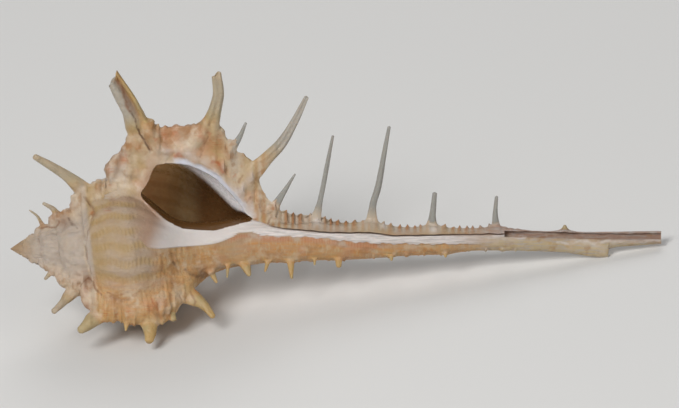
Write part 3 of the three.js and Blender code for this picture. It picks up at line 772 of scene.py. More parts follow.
@dataclass(frozen=True)
class Relief:
    """Low relief that stands on the form, in millimetres along its normals."""

    form: Form
    cord: float = 0.03
    low_cord: float = 0.045
    varix_cord: float = 0.06
    cord_reach: Reach = (1.01, 1.05, 2.5, 3.0)
    face_cord: float = 0.035
    face_pleat: float = 0.1
    face_reach: Reach = (29, 33, 44, 48)
    growth_line: float = 0.04
    line_scale: Pair = (0.4, 0.9)
    thin_radius: float = 4.0
    spire_turns: Reach = (0, 0.5, 4.5, 5.5)
    spire_reach: Reach = (1.03, 1.12, 1.5, 1.56)
    spire_knob: float = 0.1
    spire_bulge: float = 0.3
    spire_ribs: float = 20.0
    suture_ridge: float = 0.05
    suture_place: float = 1.025
    suture_width: float = 0.016
    dip: float = 0.5
    dip_patch: Patch = Patch((-20, -4, 26, 44), (38, 42, 47, 54))
    apex: float = 0.28
    apex_reach: Reach = (0.1, 0.8, 3.5, 7)
    glaze: float = 0.25
    under_glaze: float = 0.05
    glaze_patch: Patch = Patch((24, 30, 112, 120), (18, 22, 66, 77))
    glaze_edge: Curve = Curve((
        (18, 3.5), (20, 1.2), (21.5, -0.3), (23, -0.5), (25.5, -0.31), (31, 0.15), (34.1, 1.23),
        (35.3, 1.92), (37.3, 2.0), (39, 1.44), (41.8, 1.34), (44.9, 1.27), (49.3, 0.92), (51.1, 0.66),
        (58.1, 0.23), (76, 0.1),
    ))
    cusp: float = 0.5
    cusp_patch: Patch = Patch((-9, 2, 20, 30), (38.5, 41, 74, 80))
    pleat: float = 0.11
    pleat_patch: Patch = Patch((14, 24, 48, 60), (38.5, 41, 74, 80))
    nub: float = 0.28
    nub_patch: Patch = Patch((140, 152, 170, 184), (36, 40, 76, 84))
    pits: Rows = ((12.1, 135, 0.75, 0.9), (8.3, 44, 0.8, 0.45), (14.4, 28, 0.4, 0.3))

    def rise(self, edge: Array, y: Array, soft: float = 0.18) -> Array:
        """Rise from 0 to 1 across an edge line."""
        return ease(-0.5 * soft, 0.5 * soft, y - edge)

    def glaze_share(self, place: Places) -> Array:
        """Share of the glaze on the inner lip, over the whorl behind it and below the slit.

        Args:
            place: Points of the shell.

        Returns:
            Shares from 0 to 1.
        """
        x, y = place.x, place.y
        below_slit = np.where(x > 37.3, 1 - self.rise(SLIT.line(x) - 0.1, y), 1)
        edge = self.glaze_edge(x) + ease(36, 39, x) * (0.1 * np.sin(2.1 * x) + 0.07 * np.sin(5.3 * x))
        return self.rise(edge, y) * below_slit * self.glaze_patch.share(place)

    def white_share(self, place: Places, glaze: Array) -> Array:
        """Share of the white part of the glaze, which leaves the tan film on the whorl out."""
        film_edge = 22.1 + 0.35 * np.clip(place.y, 0, 4)
        return glaze * ease(-1.5, 1.9, place.x - film_edge)

    def pit_share(self, place: Places, radius: Array) -> Array:
        """Depth of the hollows in front of the varices.

        Args:
            place: Points of the shell.
            radius: Radii that distances round the axis are measured at.

        Returns:
            Depths in millimetres.
        """
        depth = np.zeros_like(place.x)
        for at, turn, size, deep in self.pits:
            depth += deep * blob(place.x - at, np.radians(place.angle - turn) * radius, size)
        return depth

    def cords(self, place: Places, u: Array, share: Array) -> Array:
        """Height of the spiral cords.

        Args:
            place: Points of the outer form.
            u: Distance from the pole in sutures.
            share: Share of a varix.

        Returns:
            Heights in millimetres.
        """
        u = self.form.waver(u, place.angle)
        uneven = 0.6 + 1.1 * grain(place.points, 0.55, 3.0)
        strength = self.cord + self.low_cord * ease(1.8, 2.1, u) + self.varix_cord * share
        return strength * within(self.cord_reach, u) * CORDS(u) * uneven

    def lumps(self, place: Places, rough: Array) -> Array:
        """Height of the lumps and the growth lines, lower where the shell is slender.

        Args:
            place: Points of the outer form.
            rough: 1 on a varix and on the lip's face.

        Returns:
            Heights in millimetres.
        """
        along, round_axis = self.line_scale
        spots = np.stack([place.x * along, place.angle * round_axis, 0 * place.x], axis=1)
        lumps = sum(grit.rise(place, rough) for grit in LUMPS) + self.growth_line * grain(spots, 1.0, 9.0)
        return lumps * np.minimum(place.radius / self.thin_radius, 1)

    def spire(self, place: Places, u: Array, back: Array) -> Array:
        """Height of the knobs and the bulge of the older whorls, and of the ridge along the suture.

        Args:
            place: Points of the outer form.
            u: Distance from the pole in sutures.
            back: Turns back from the last whorl.

        Returns:
            Heights on a whorl as large as the last.
        """
        older = within(self.spire_turns, back) * within(self.spire_reach, u)
        knobs = cos_deg(place.angle * self.spire_ribs) * (1 + grain(place.points, 0.9, 2.0))
        bulge = np.sin(np.pi * np.clip((u - 1) / (self.form.spiral.growth - 1), 0, 1))
        ridge = np.exp(-((u - self.suture_place) / self.suture_width) ** 2) * (place.x > 1.5)
        return older * (self.spire_knob * knobs + self.spire_bulge * bulge) + self.suture_ridge * ridge

    def canal_edges(self, place: Places) -> Array:
        """Height of the cusps above the slit and of the nubs below the canal.

        Args:
            place: Points of the outer form.

        Returns:
            Heights in millimetres.
        """
        x, wave = place.x, CUSPS(place.x)
        crest = self.cusp * self.cusp_patch.share(place) * np.maximum(wave, 0) ** 2
        pleats = self.pleat * self.pleat_patch.share(place) * wave
        nubs = np.maximum(np.cos(5.1 * x + 2 * np.sin(1.7 * x)) * np.sin(1.3 * x + 1), 0) ** 2
        return crest + pleats + self.nub * nubs * self.nub_patch.share(place)

    def height(self, place: Places, share: Array, face: Array) -> Array:
        """Relief at points of the outer form.

        Args:
            place: Points of the outer form.
            share: Share of a varix at each.
            face: 1 on the lip's face.

        Returns:
            Heights in millimetres.
        """
        spiral = self.form.spiral
        back, growth, u = self.form.measure(place, face)
        scale = np.minimum(spiral.size(growth) / spiral.size(spiral.lip), 1)
        smooth = self.glaze_share(place)
        rough = np.maximum(share, face)
        pleats = (self.face_cord + self.face_pleat * within(self.face_reach, place.x)) * face * CORDS(u)
        cords = self.cords(place, u, share * (1 - face))
        relief = (cords + pleats + self.spire(place, u, back)) * scale + self.lumps(place, rough)
        relief += sum(grit.rise(place, rough) for grit in WRINKLES)
        relief -= self.dip * self.dip_patch.share(place)
        relief += self.apex * within(self.apex_reach, place.x)
        relief *= 1 - (1 - self.under_glaze) * smooth
        for fold in FOLDS + SEAMS:
            relief += fold.height * fold.share(place.points) * (1 - smooth)
        relief += self.glaze * smooth + self.canal_edges(place)
        return relief - self.pit_share(place, place.radius)


class Bench:
    """Small helpers that work on objects as by hand."""

    @staticmethod
    def clear() -> None:
        """Deselect everything."""
        bpy.ops.object.select_all(action="DESELECT")

    @staticmethod
    def pick(piece: Piece) -> None:
        """Select one piece alone and make it active."""
        Bench.clear()
        piece.select_set(True)
        bpy.context.view_layer.objects.active = piece

    @staticmethod
    @contextmanager
    def editing(piece: Piece, select: str | None = "SELECT") -> Iterator[None]:
        """Edit a piece for a while.

        Args:
            piece: The piece.
            select: What is done to the selection first, if anything.
        """
        Bench.pick(piece)
        bpy.ops.object.mode_set(mode="EDIT")
        if select:
            bpy.ops.mesh.select_all(action=select)
        yield
        bpy.ops.object.mode_set(mode="OBJECT")

    @staticmethod
    def apply(piece: Piece, kind: str, **settings: object) -> None:
        """Add a modifier to a piece and apply it.

        Args:
            piece: The piece.
            kind: Type of the modifier.
            settings: Values of its properties.
        """
        Bench.pick(piece)
        modifier = piece.modifiers.new(kind.lower(), kind)
        for name, value in settings.items():
            setattr(modifier, name, value)
        bpy.ops.object.modifier_apply(modifier=modifier.name)

    @staticmethod
    def mesh_object(name: str, points: Array, faces: list) -> Piece:
        """Make an object from points and faces.

        Args:
            name: Name of the object.
            points: Points, one a row.
            faces: Corner numbers of each face.

        Returns:
            The new object.
        """
        mesh = bpy.data.meshes.new(name)
        mesh.from_pydata(points.tolist(), [], faces)
        mesh.validate()
        piece = bpy.data.objects.new(name, mesh)
        bpy.context.collection.objects.link(piece)
        return piece

    @staticmethod
    def points(piece: Piece) -> Array:
        """Vertices of a piece, one a row."""
        flat = np.empty(3 * len(piece.data.vertices))
        piece.data.vertices.foreach_get("co", flat)
        return flat.reshape(-1, 3)

    @staticmethod
    def set_points(piece: Piece, points: Array) -> None:
        """Put the vertices of a piece at new points."""
        piece.data.vertices.foreach_set("co", points.ravel())
        piece.data.update()

    @staticmethod
    def normals(piece: Piece) -> Array:
        """Vertex normals of a piece, one a row."""
        flat = np.empty(3 * len(piece.data.vertices))
        piece.data.vertex_normals.foreach_get("vector", flat)
        return flat.reshape(-1, 3)

    @staticmethod
    def mark(piece: Piece, name: str, values: Array) -> None:
        """Write a mark on a piece, one number for each vertex."""
        attribute = piece.data.attributes.get(name) or piece.data.attributes.new(name, "FLOAT", "POINT")
        attribute.data.foreach_set("value", np.ascontiguousarray(values, np.float32))

    @staticmethod
    def read(piece: Piece, name: str) -> Array:
        """Read a mark back from every vertex of a piece."""
        values = np.empty(len(piece.data.vertices), np.float32)
        piece.data.attributes[name].data.foreach_get("value", values)
        return values

    @staticmethod
    def carry(piece: Piece, **values: Array) -> None:
        """Write the marks that booleans carry along, 0 where none is given."""
        for name in CARRIED:
            Bench.mark(piece, name, values.get(name, np.zeros(len(piece.data.vertices))))

    @staticmethod
    def outwards(piece: Piece) -> None:
        """Merge doubles and turn the faces of a closed piece outwards."""
        with Bench.editing(piece):
            bpy.ops.mesh.remove_doubles(threshold=0.0005)
            bpy.ops.mesh.normals_make_consistent(inside=False)

    @staticmethod
    def combine(piece: Piece, tool: Piece, op: Op) -> None:
        """Join a closed tool to a closed piece or cut the piece with it, and remove the tool."""
        Bench.apply(piece, "BOOLEAN", operation=op.value, object=tool, solver="MANIFOLD")
        bpy.data.objects.remove(tool)

    @staticmethod
    def thin_out(piece: Piece, triangles: int) -> None:
        """Take triangles away where the surface is flattest until so many are left."""
        whole = len(piece.data.loops) - 2 * len(piece.data.polygons)
        Bench.apply(piece, "DECIMATE", ratio=min(1.0, triangles / whole))

    @staticmethod
    def soften(piece: Piece, mark: str, reach: float, repeats: int) -> None:
        """Round the seam where a mark starts.

        Args:
            piece: The piece.
            mark: Name of the mark, above 0 on one side of the seam.
            reach: How far from the seam the surface is eased.
            repeats: How often it is smoothed.
        """
        marked = Bench.read(piece, mark) > 0.01
        edges = np.empty(2 * len(piece.data.edges), np.int32)
        piece.data.edges.foreach_get("vertices", edges)
        edges = edges.reshape(-1, 2)
        seam = np.unique(edges[marked[edges[:, 0]] != marked[edges[:, 1]]])
        points = Bench.points(piece)
        tree = kdtree.KDTree(len(seam))
        for i in seam.tolist():
            tree.insert(points[i], i)
        tree.balance()
        gaps = np.array([tree.find(point)[2] for point in points.tolist()])
        weights = np.round(1 - ease(0.2 * reach, reach, gaps), 1)
        group = piece.vertex_groups.new(name="seam")
        for weight in np.unique(weights[weights > 0]):
            group.add(np.flatnonzero(weights == weight).tolist(), float(weight), "REPLACE")
        Bench.apply(piece, "SMOOTH", factor=0.5, iterations=repeats, vertex_group=group.name)
        piece.vertex_groups.clear()


@dataclass
class Body:
    """Spire, body whorl and canal as one closed skin."""

    form: Form
    relief: Relief
    column_step: float = 0.8
    front_columns: int = 22
    front_reach: Pair = (21.12, 25.8)
    whorl_rows: tuple[int, ...] = (8, 8, 16, 26, 46)
    last_rows: int = 130
    last_reach: float = 2.35
    bridge_rows: int = 36
    canal_start: float = 43.0
    canal_rows: int = 200
    broken_rows: tuple[float, ...] = (91.6, 91.8, 91.87, 91.94, 92.0, 92.2)
    triangles: int = 150000

    def places(self, angle: float) -> Array:
        """Places of one column's points, following the sutures.

        Args:
            angle: Growth angle of the column.

        Returns:
            Places from apex to canal tip.
        """
        spiral = self.form.spiral
        places = []
        for turn, count in zip(range(spiral.turns - 1, 0, -1), self.whorl_rows):
            start = spiral.suture * float(spiral.size(angle - TURN * turn))
            steps = np.linspace(0, 1, count, endpoint=False) ** 1.25
            places.extend(spiral.pole + start * (1 + (spiral.growth - 1) * steps))
        start = spiral.suture * float(spiral.size(angle))
        steps = np.linspace(0, 1, self.last_rows) ** 1.1
        places.extend(spiral.pole + start * (1 + (self.last_reach - 1) * steps))
        places.extend(np.linspace(places[-1], self.canal_start, self.bridge_rows + 1)[1:-1])
        places.extend(self.canal_places())
        return np.array(places)

    def canal_places(self) -> Array:
        """Places along the canal, close together where the older layer breaks off."""
        even = np.linspace(self.canal_start, self.form.length, self.canal_rows)
        apart = np.min(np.abs(even[:, None] - self.broken_rows), axis=1) > 0.15
        return np.sort(np.concatenate([even[apart], self.broken_rows]))

    def zip_columns(self, left: Array, right: Array, offsets: tuple[int, int]) -> list:
        """Fill between two columns whose points lie at different places.

        Args:
            left: Places of the left column.
            right: Places of the right column.
            offsets: Number of the first point of each.

        Returns:
            Triangles.
        """
        faces = []
        left_at, right_at = 0, 0
        left_next, right_next = [*left[1:], math.inf], [*right[1:], math.inf]
        while left_at < len(left) - 1 or right_at < len(right) - 1:
            here, there = offsets[0] + left_at, offsets[1] + right_at
            if left_next[left_at] < right_next[right_at]:
                faces.append((here, here + 1, there))
                left_at += 1
            else:
                faces.append((here, there + 1, there))
                right_at += 1
        return faces

    def build(self) -> Piece:
        """Make the skin.

        Returns:
            Closed object, in millimetres, in the shell's own frame.
        """
        lip = self.form.spiral.lip
        front = np.linspace(*self.front_reach, self.front_columns)
        angles = [*front, *np.arange(self.form.foot_angle, lip, self.column_step), lip]
        columns = [self.places(angle) for angle in angles]
        rows = len(columns[0])
        x = np.concatenate(columns)
        angle = np.repeat(angles, rows)
        radius, _, _ = self.form.surface(x, angle)
        points = self.form.point(x, angle, radius)
        ends = self.form.point(np.array([0.0, self.form.length]), 0.0, 0.0)
        apex, tip = len(points), len(points) + 1
        faces = []
        for column in range(len(angles) - 1):
            here, there = column * rows, (column + 1) * rows
            faces.extend((here + r, here + r + 1, there + r + 1, there + r) for r in range(rows - 1))
            faces.append((apex, here, there))
            faces.append((tip, there + rows - 1, here + rows - 1))
        last = (len(angles) - 1) * rows
        faces.extend(self.zip_columns(columns[-1], columns[0], (last, 0)))
        faces.extend([(apex, last, 0), (tip, rows - 1, last + rows - 1)])
        body = Bench.mesh_object("murex_shell", np.concatenate([points, ends]), faces)
        Bench.outwards(body)
        self.raise_relief(body)
        Bench.thin_out(body, self.triangles)
        place = self.form.places(Bench.points(body))
        _, _, face = self.form.surface(place.x, place.angle)
        Bench.mark(body, "join", face * (place.angle > 30))
        Bench.soften(body, "join", 1.1, 16)
        Bench.carry(body)
        return body

    def raise_relief(self, body: Piece) -> None:
        """Push the skin out along its normals by the relief.

        Args:
            body: The closed skin.
        """
        place = self.form.places(Bench.points(body))
        _, share, face = self.form.surface(place.x, place.angle)
        height = self.relief.height(place, share, face) * ease(0.03, 0.3, place.radius)
        Bench.set_points(body, place.points + Bench.normals(body) * height[:, None])


@dataclass
class Chamber:
    """Body chamber, slit and gutter: what is cut out of the shell."""

    form: Form
    opening: Rows = (
        (22.0, 13.6), (24.7, 13.2), (27, 12.4), (29.3, 10.9), (31.4, 9.1), (33.2, 7.3), (35.2, 5.1),
        (37.5, 3.7), (34.1, 3.6), (31.8, 3.35), (28.4, 3.4), (25.5, 4.15), (23.5, 5.75), (22.1, 7.1),
        (19.5, 9.1), (21.2, 10.9),
    )
    outline_points: int = 84
    first_angle: float = 418.0
    last_angle: float = 185.0
    rings: int = 100
    flare: float = 1.35
    flare_angles: Pair = (360.0, 388.0)
    middle: Pair = (28.0, 7.5)
    outer_way: Pair = (0.72, 0.7)
    outer_width: float = 3.0
    outer_end: Pair = (33.5, 37.0)
    outer_low: Pair = (3.9, 5.2)
    slope: float = 11.0
    groove_rings: int = 90
    reach: float = 4.0

    def outline(self) -> Array:
        """Smooth closed outline of the opening, as place and radius.

        Returns:
            Points, one a row.
        """
        corners = np.array(self.opening)
        loop = np.concatenate([corners, corners[:1]])
        length = np.concatenate([[0], np.cumsum(np.hypot(*np.diff(loop, axis=0).T))])
        t = np.linspace(0, length[-1], self.outline_points, endpoint=False)
        even = np.stack([np.interp(t, length, loop[:, i]) for i in (0, 1)], axis=1)
        for _ in range(4):
            even = (np.roll(even, 1, axis=0) + 2 * even + np.roll(even, -1, axis=0)) / 4
        return even

    def outer_share(self, outline: Array) -> Array:
        """Share of 1 on the side of the outline that the lip bounds, 0 on the other."""
        share = np.clip((outline - self.middle) @ self.outer_way / self.outer_width, 0, 1)
        return share * (1 - ease(*self.outer_end, outline[:, 0])) * ease(*self.outer_low, outline[:, 1])

    def flared(self, outline: Array, angle: float) -> Array:
        """Outline opened out towards the lip on its outer side.

        Args:
            outline: Place and radius of the outline's points.
            angle: Growth angle of the section.

        Returns:
            The outline at that section.
        """
        share = float(ease(*self.flare_angles, np.array(angle)))
        away = outline - self.middle
        step = away / np.linalg.norm(away, axis=1)[:, None]
        return outline + step * (self.flare * share * self.outer_share(outline))[:, None]

    def loft(self, name: str, rings: list[Array]) -> Piece:
        """Closed tube through rings, bridged and capped.

        Args:
            name: Name of the object.
            rings: Points of each ring.

        Returns:
            The tube.
        """
        sides = len(rings[0])
        faces = []
        for ring in range(len(rings) - 1):
            for side in range(sides):
                a, b = ring * sides + side, ring * sides + (side + 1) % sides
                faces.append((a, b, b + sides, a + sides))
        faces.append(tuple(reversed(range(sides))))
        faces.append(tuple(range((len(rings) - 1) * sides, len(rings) * sides)))
        return Bench.mesh_object(name, np.concatenate(rings), faces)

    def hollow(self) -> Piece:
        """Hollow of the body chamber, swept back along the spiral.

        Returns:
            The cutting body.
        """
        spiral = self.form.spiral
        outline = self.outline()
        rings, depths, rims = [], [], []
        for angle in np.linspace(self.first_angle, self.last_angle, self.rings):
            scale = float(spiral.size(angle - spiral.lip))
            section = self.flared(outline, angle)
            x = spiral.pole + (section[:, 0] - spiral.pole) * scale
            rings.append(self.form.point(x, angle, section[:, 1] * scale))
            depths.extend([math.radians(self.flare_angles[1] - angle) * self.slope] * len(outline))
            rims.extend(self.outer_share(outline))
        tube = self.loft("hollow", rings)
        Bench.carry(tube, hollow=np.ones(len(depths)), depth=np.array(depths), rim=np.array(rims))
        Bench.outwards(tube)
        return tube

    def groove(self, groove: Groove) -> Piece:
        """Body that cuts a groove into the front of the canal.

        Args:
            groove: The groove.

        Returns:
            The cutting body.
        """
        rings = []
        for x in np.linspace(*groove.ends, self.groove_rings):
            bottom = float(self.form.canal.side(np.array(x))) * groove.floor
            y = float(groove.line(np.array(x))) + 0.12 * noise.noise(Vector((x * 0.7, 4.0, 0.0)))
            corners = [(-1, bottom), (1, bottom), (1, self.reach + bottom), (-1, self.reach + bottom)]
            rings.append(np.array([(x, y + side * groove.width / 2, z) for side, z in corners]))
        tube = self.loft("groove", rings)
        Bench.carry(tube, shade=np.full(4 * len(rings), groove.shade))
        Bench.outwards(tube)
        return tube

    def cut(self, shell: Piece) -> None:
        """Cut the chamber, the slit and the gutter out of the shell."""
        for tool in (self.hollow(), self.groove(SLIT), self.groove(GUTTER)):
            Bench.combine(shell, tool, Op.CUT)


@dataclass
class SpineRow:
    """One row of spines, grown out of the shell by extruding circles."""

    form: Form
    row: Row
    spines: tuple[Spine, ...]
    sides: int = 24
    root: float = 0.6
    root_share: float = 0.9
    root_flat: float = 0.3
    step: float = 0.5
    flatness: float = 0.82
    groove: float = 0.7
    narrow_groove: float = 0.55
    face_angle: float = 90.0
    side_flat: float = 0.7
    root_wider: float = 0.8
    open_rim: float = 0.66
    open_inner: float = 0.5
    open_depth: float = 0.7
    cap_width: float = 0.55
    cap_length: float = 0.22

    def stops(self, spine: Spine) -> Array:
        """Even stops along a spine from inside the shell to its tip, and the tip's own rings.

        Args:
            spine: The spine.

        Returns:
            Place, radius, width and way along of each stop.
        """
        path = np.array(spine.path)
        along = path[1, :2] - path[0, :2]
        root = self.root + self.root_share * path[0, 2]
        start = path[0, :2] - along / np.linalg.norm(along) * root
        path = np.concatenate([[[*start, path[0, 2] + min(self.root_wider, path[0, 2])]], path])
        length = np.concatenate([[0], np.cumsum(np.hypot(*np.diff(path[:, :2], axis=0).T))])
        count = max(6, int(length[-1] / self.step))
        t = np.linspace(0, length[-1], count)
        shape = np.stack([Curve(tuple(zip(length, path[:, i])))(t) for i in range(3)], axis=1)
        way = np.clip((t - root) / (length[-1] - root), 0.02, 1)
        rings = np.column_stack([shape, way])
        last = rings[-1]
        ahead = last[:2] - rings[-2, :2]
        ahead = ahead / np.linalg.norm(ahead)
        if spine.open:
            rim = [*last[:2], last[2] * self.open_rim, 1.0]
            inner = [*(last[:2] - ahead * self.open_depth), last[2] * self.open_inner, 1.0]
            return np.vstack([rings, rim, inner])
        cap = [*(last[:2] + ahead * last[2] * self.cap_length), last[2] * self.cap_width, 1.0]
        return np.vstack([rings, cap])

    def grow(self, spine: Spine) -> Piece:
        """Grow one spine flat in the plane of its row: place along x, radius along z.

        Args:
            spine: The spine.

        Returns:
            The spine, closed.
        """
        stops = self.stops(spine)
        Bench.clear()
        bpy.ops.mesh.primitive_circle_add(vertices=self.sides, radius=stops[0, 2] / 2, fill_type="NGON",
                                          location=(stops[0, 0], 0.0, stops[0, 1]))
        piece = bpy.context.object
        bpy.ops.object.transform_apply(location=True, rotation=True, scale=True)
        with Bench.editing(piece):
            for before, after in zip(stops[:-1], stops[1:]):
                move = (after[0] - before[0], 0.0, after[1] - before[1])
                bpy.ops.mesh.extrude_region_move(TRANSFORM_OT_translate={"value": move})
                share, centre = after[2] / before[2], (after[0], 0.0, after[1])
                bpy.ops.transform.resize(value=(share, share, share), center_override=centre)
        self.shape_rings(piece, spine, stops)
        return piece

    def shape_rings(self, piece: Piece, spine: Spine, stops: Array) -> None:
        """Turn each ring square to the spine, flatten it, and press the groove in.

        Args:
            piece: The extruded spine.
            spine: What it is to be.
            stops: Place, radius, width and way along of each ring.
        """
        points = Bench.points(piece)
        body = len(stops) - (2 if spine.open else 1)
        tangents = np.gradient(stops[:body, :2], axis=0)
        tilts = np.arctan2(tangents[:, 0], tangents[:, 1])
        turns = 2 * np.pi * np.arange(self.sides) / self.sides
        seed = spine.path[0][0]
        aside = spine.groove_at != self.face_angle
        shade = np.zeros(len(points))
        ivory = np.full(len(points), spine.ivory)
        for ring, (place, radius, width, way) in enumerate(stops):
            tilt = tilts[min(ring, body - 1)]
            ridge = 1 + 0.05 * np.cos(3 * turns + way * 5 + seed) + 0.03 * np.sin(5 * turns - way * 9)
            side = np.cos(turns) * ridge
            low, back = (self.root_flat, 1.0) if self.row is Row.LIP else (self.side_flat, self.side_flat)
            thick = np.where(np.sin(turns) > 0, low, back)
            thick = thick + (1 - thick) * float(ease(0.02, 0.3, np.array(way)))
            front = np.sin(turns) * ridge * self.flatness * thick
            ids = slice(ring * self.sides, (ring + 1) * self.sides)
            if spine.open:
                gap = np.abs(turns - math.radians(spine.groove_at))
                press = np.exp(-(gap / (0.24 + 0.2 * way)) ** 2) * float(ease(0.02, 0.4, np.array(way)))
                front = front - press * self.groove * (1.0 if aside else self.narrow_groove)
                shade[ids] = press ** 2 * spine.dark
            if aside:
                ivory[ids] = np.where(turns > math.radians(spine.groove_at), spine.ivory, 0)
            uneven = 0.1 * np.sin(3 * turns + seed) + spine.slant * np.cos(turns)
            jag = uneven * width * (ring >= body - 1) * spine.open
            half = width / 2
            points[ids, 0] = place + side * half * math.cos(tilt) + jag * math.sin(tilt)
            points[ids, 2] = radius - side * half * math.sin(tilt) + jag * math.cos(tilt)
            points[ids, 1] = front * half
        Bench.set_points(piece, points)
        way = np.repeat(stops[:, 3], self.sides)
        Bench.carry(piece, way=way, thin=np.full(len(way), float(spine.thin)), shade=shade,
                    ivory=ivory * ease(0.1, 0.5, way))

    def stand(self, piece: Piece) -> None:
        """Stand a spine from the plane of its row into the shell's own frame.

        Args:
            piece: The spine.
        """
        angle = self.row.value
        x, front, radius = Bench.points(piece).T
        points = self.form.point(x, angle, radius)
        points[:, 1] -= front * sin_deg(angle)
        points[:, 2] += front * cos_deg(angle)
        Bench.set_points(piece, points)
        Bench.outwards(piece)

    def build(self) -> Piece:
        """Grow all spines of the row.

        Returns:
            The spines in one object.
        """
        row = None
        for spine in self.spines:
            piece = self.grow(spine)
            self.stand(piece)
            if row is None:
                row = piece
            else:
                Bench.combine(row, piece, Op.JOIN)
        return row


@dataclass
class Rest:
    """How the shell lies: rolled about its axis, canal down, let down to the ground."""

    roll: float = 24.0
    pitch: float = 8.4
    shift: tuple[float, float, float] = (-49.5617, -7.1697, 15.0232)

    def turn(self) -> Array:
        """Rows of the turn from the shell's own frame to the ground's.

        Returns:
            The turn, 3 x 3.
        """
        roll, pitch = math.radians(self.roll), math.radians(self.pitch)
        up = np.array([-math.sin(pitch), math.cos(pitch) * math.cos(roll), math.cos(pitch) * math.sin(roll)])
        along = np.array([1.0, 0.0, 0.0]) - up[0] * up
        along /= np.linalg.norm(along)
        return np.array([along, np.cross(up, along), up])

    def world(self, points: Array) -> Array:
        """Points of the shell's own frame in metres on the ground."""
        return (points @ self.turn().T + np.array(self.shift)) * MM

    def lay_down(self, shell: Piece) -> None:
        """Lay the shell down and wear it flat where it meets the ground.

        Args:
            shell: The shell in its own frame; it ends in metres.
        """
        Bench.set_points(shell, self.world(Bench.points(shell)) / MM)
        with Bench.editing(shell):
            bpy.ops.mesh.bisect(plane_co=(0, 0, 0), plane_no=(0, 0, 1), use_fill=True, clear_inner=True)
        self.clean(shell)
        shell.scale = (MM, MM, MM)
        bpy.ops.object.transform_apply(location=False, rotation=False, scale=True)

    def clean(self, shell: Piece) -> None:
        """Drop any splinter that the booleans left beside the shell.

        Args:
            shell: The shell.
        """
        with Bench.editing(shell, "DESELECT"):
            bpy.ops.mesh.select_mode(type="VERT")
        shell.data.vertices[int(np.argmin(Bench.points(shell)[:, 0]))].select = True
        with Bench.editing(shell, None):
            bpy.ops.mesh.select_linked()
            bpy.ops.mesh.select_all(action="INVERT")
            bpy.ops.mesh.delete(type="VERT")


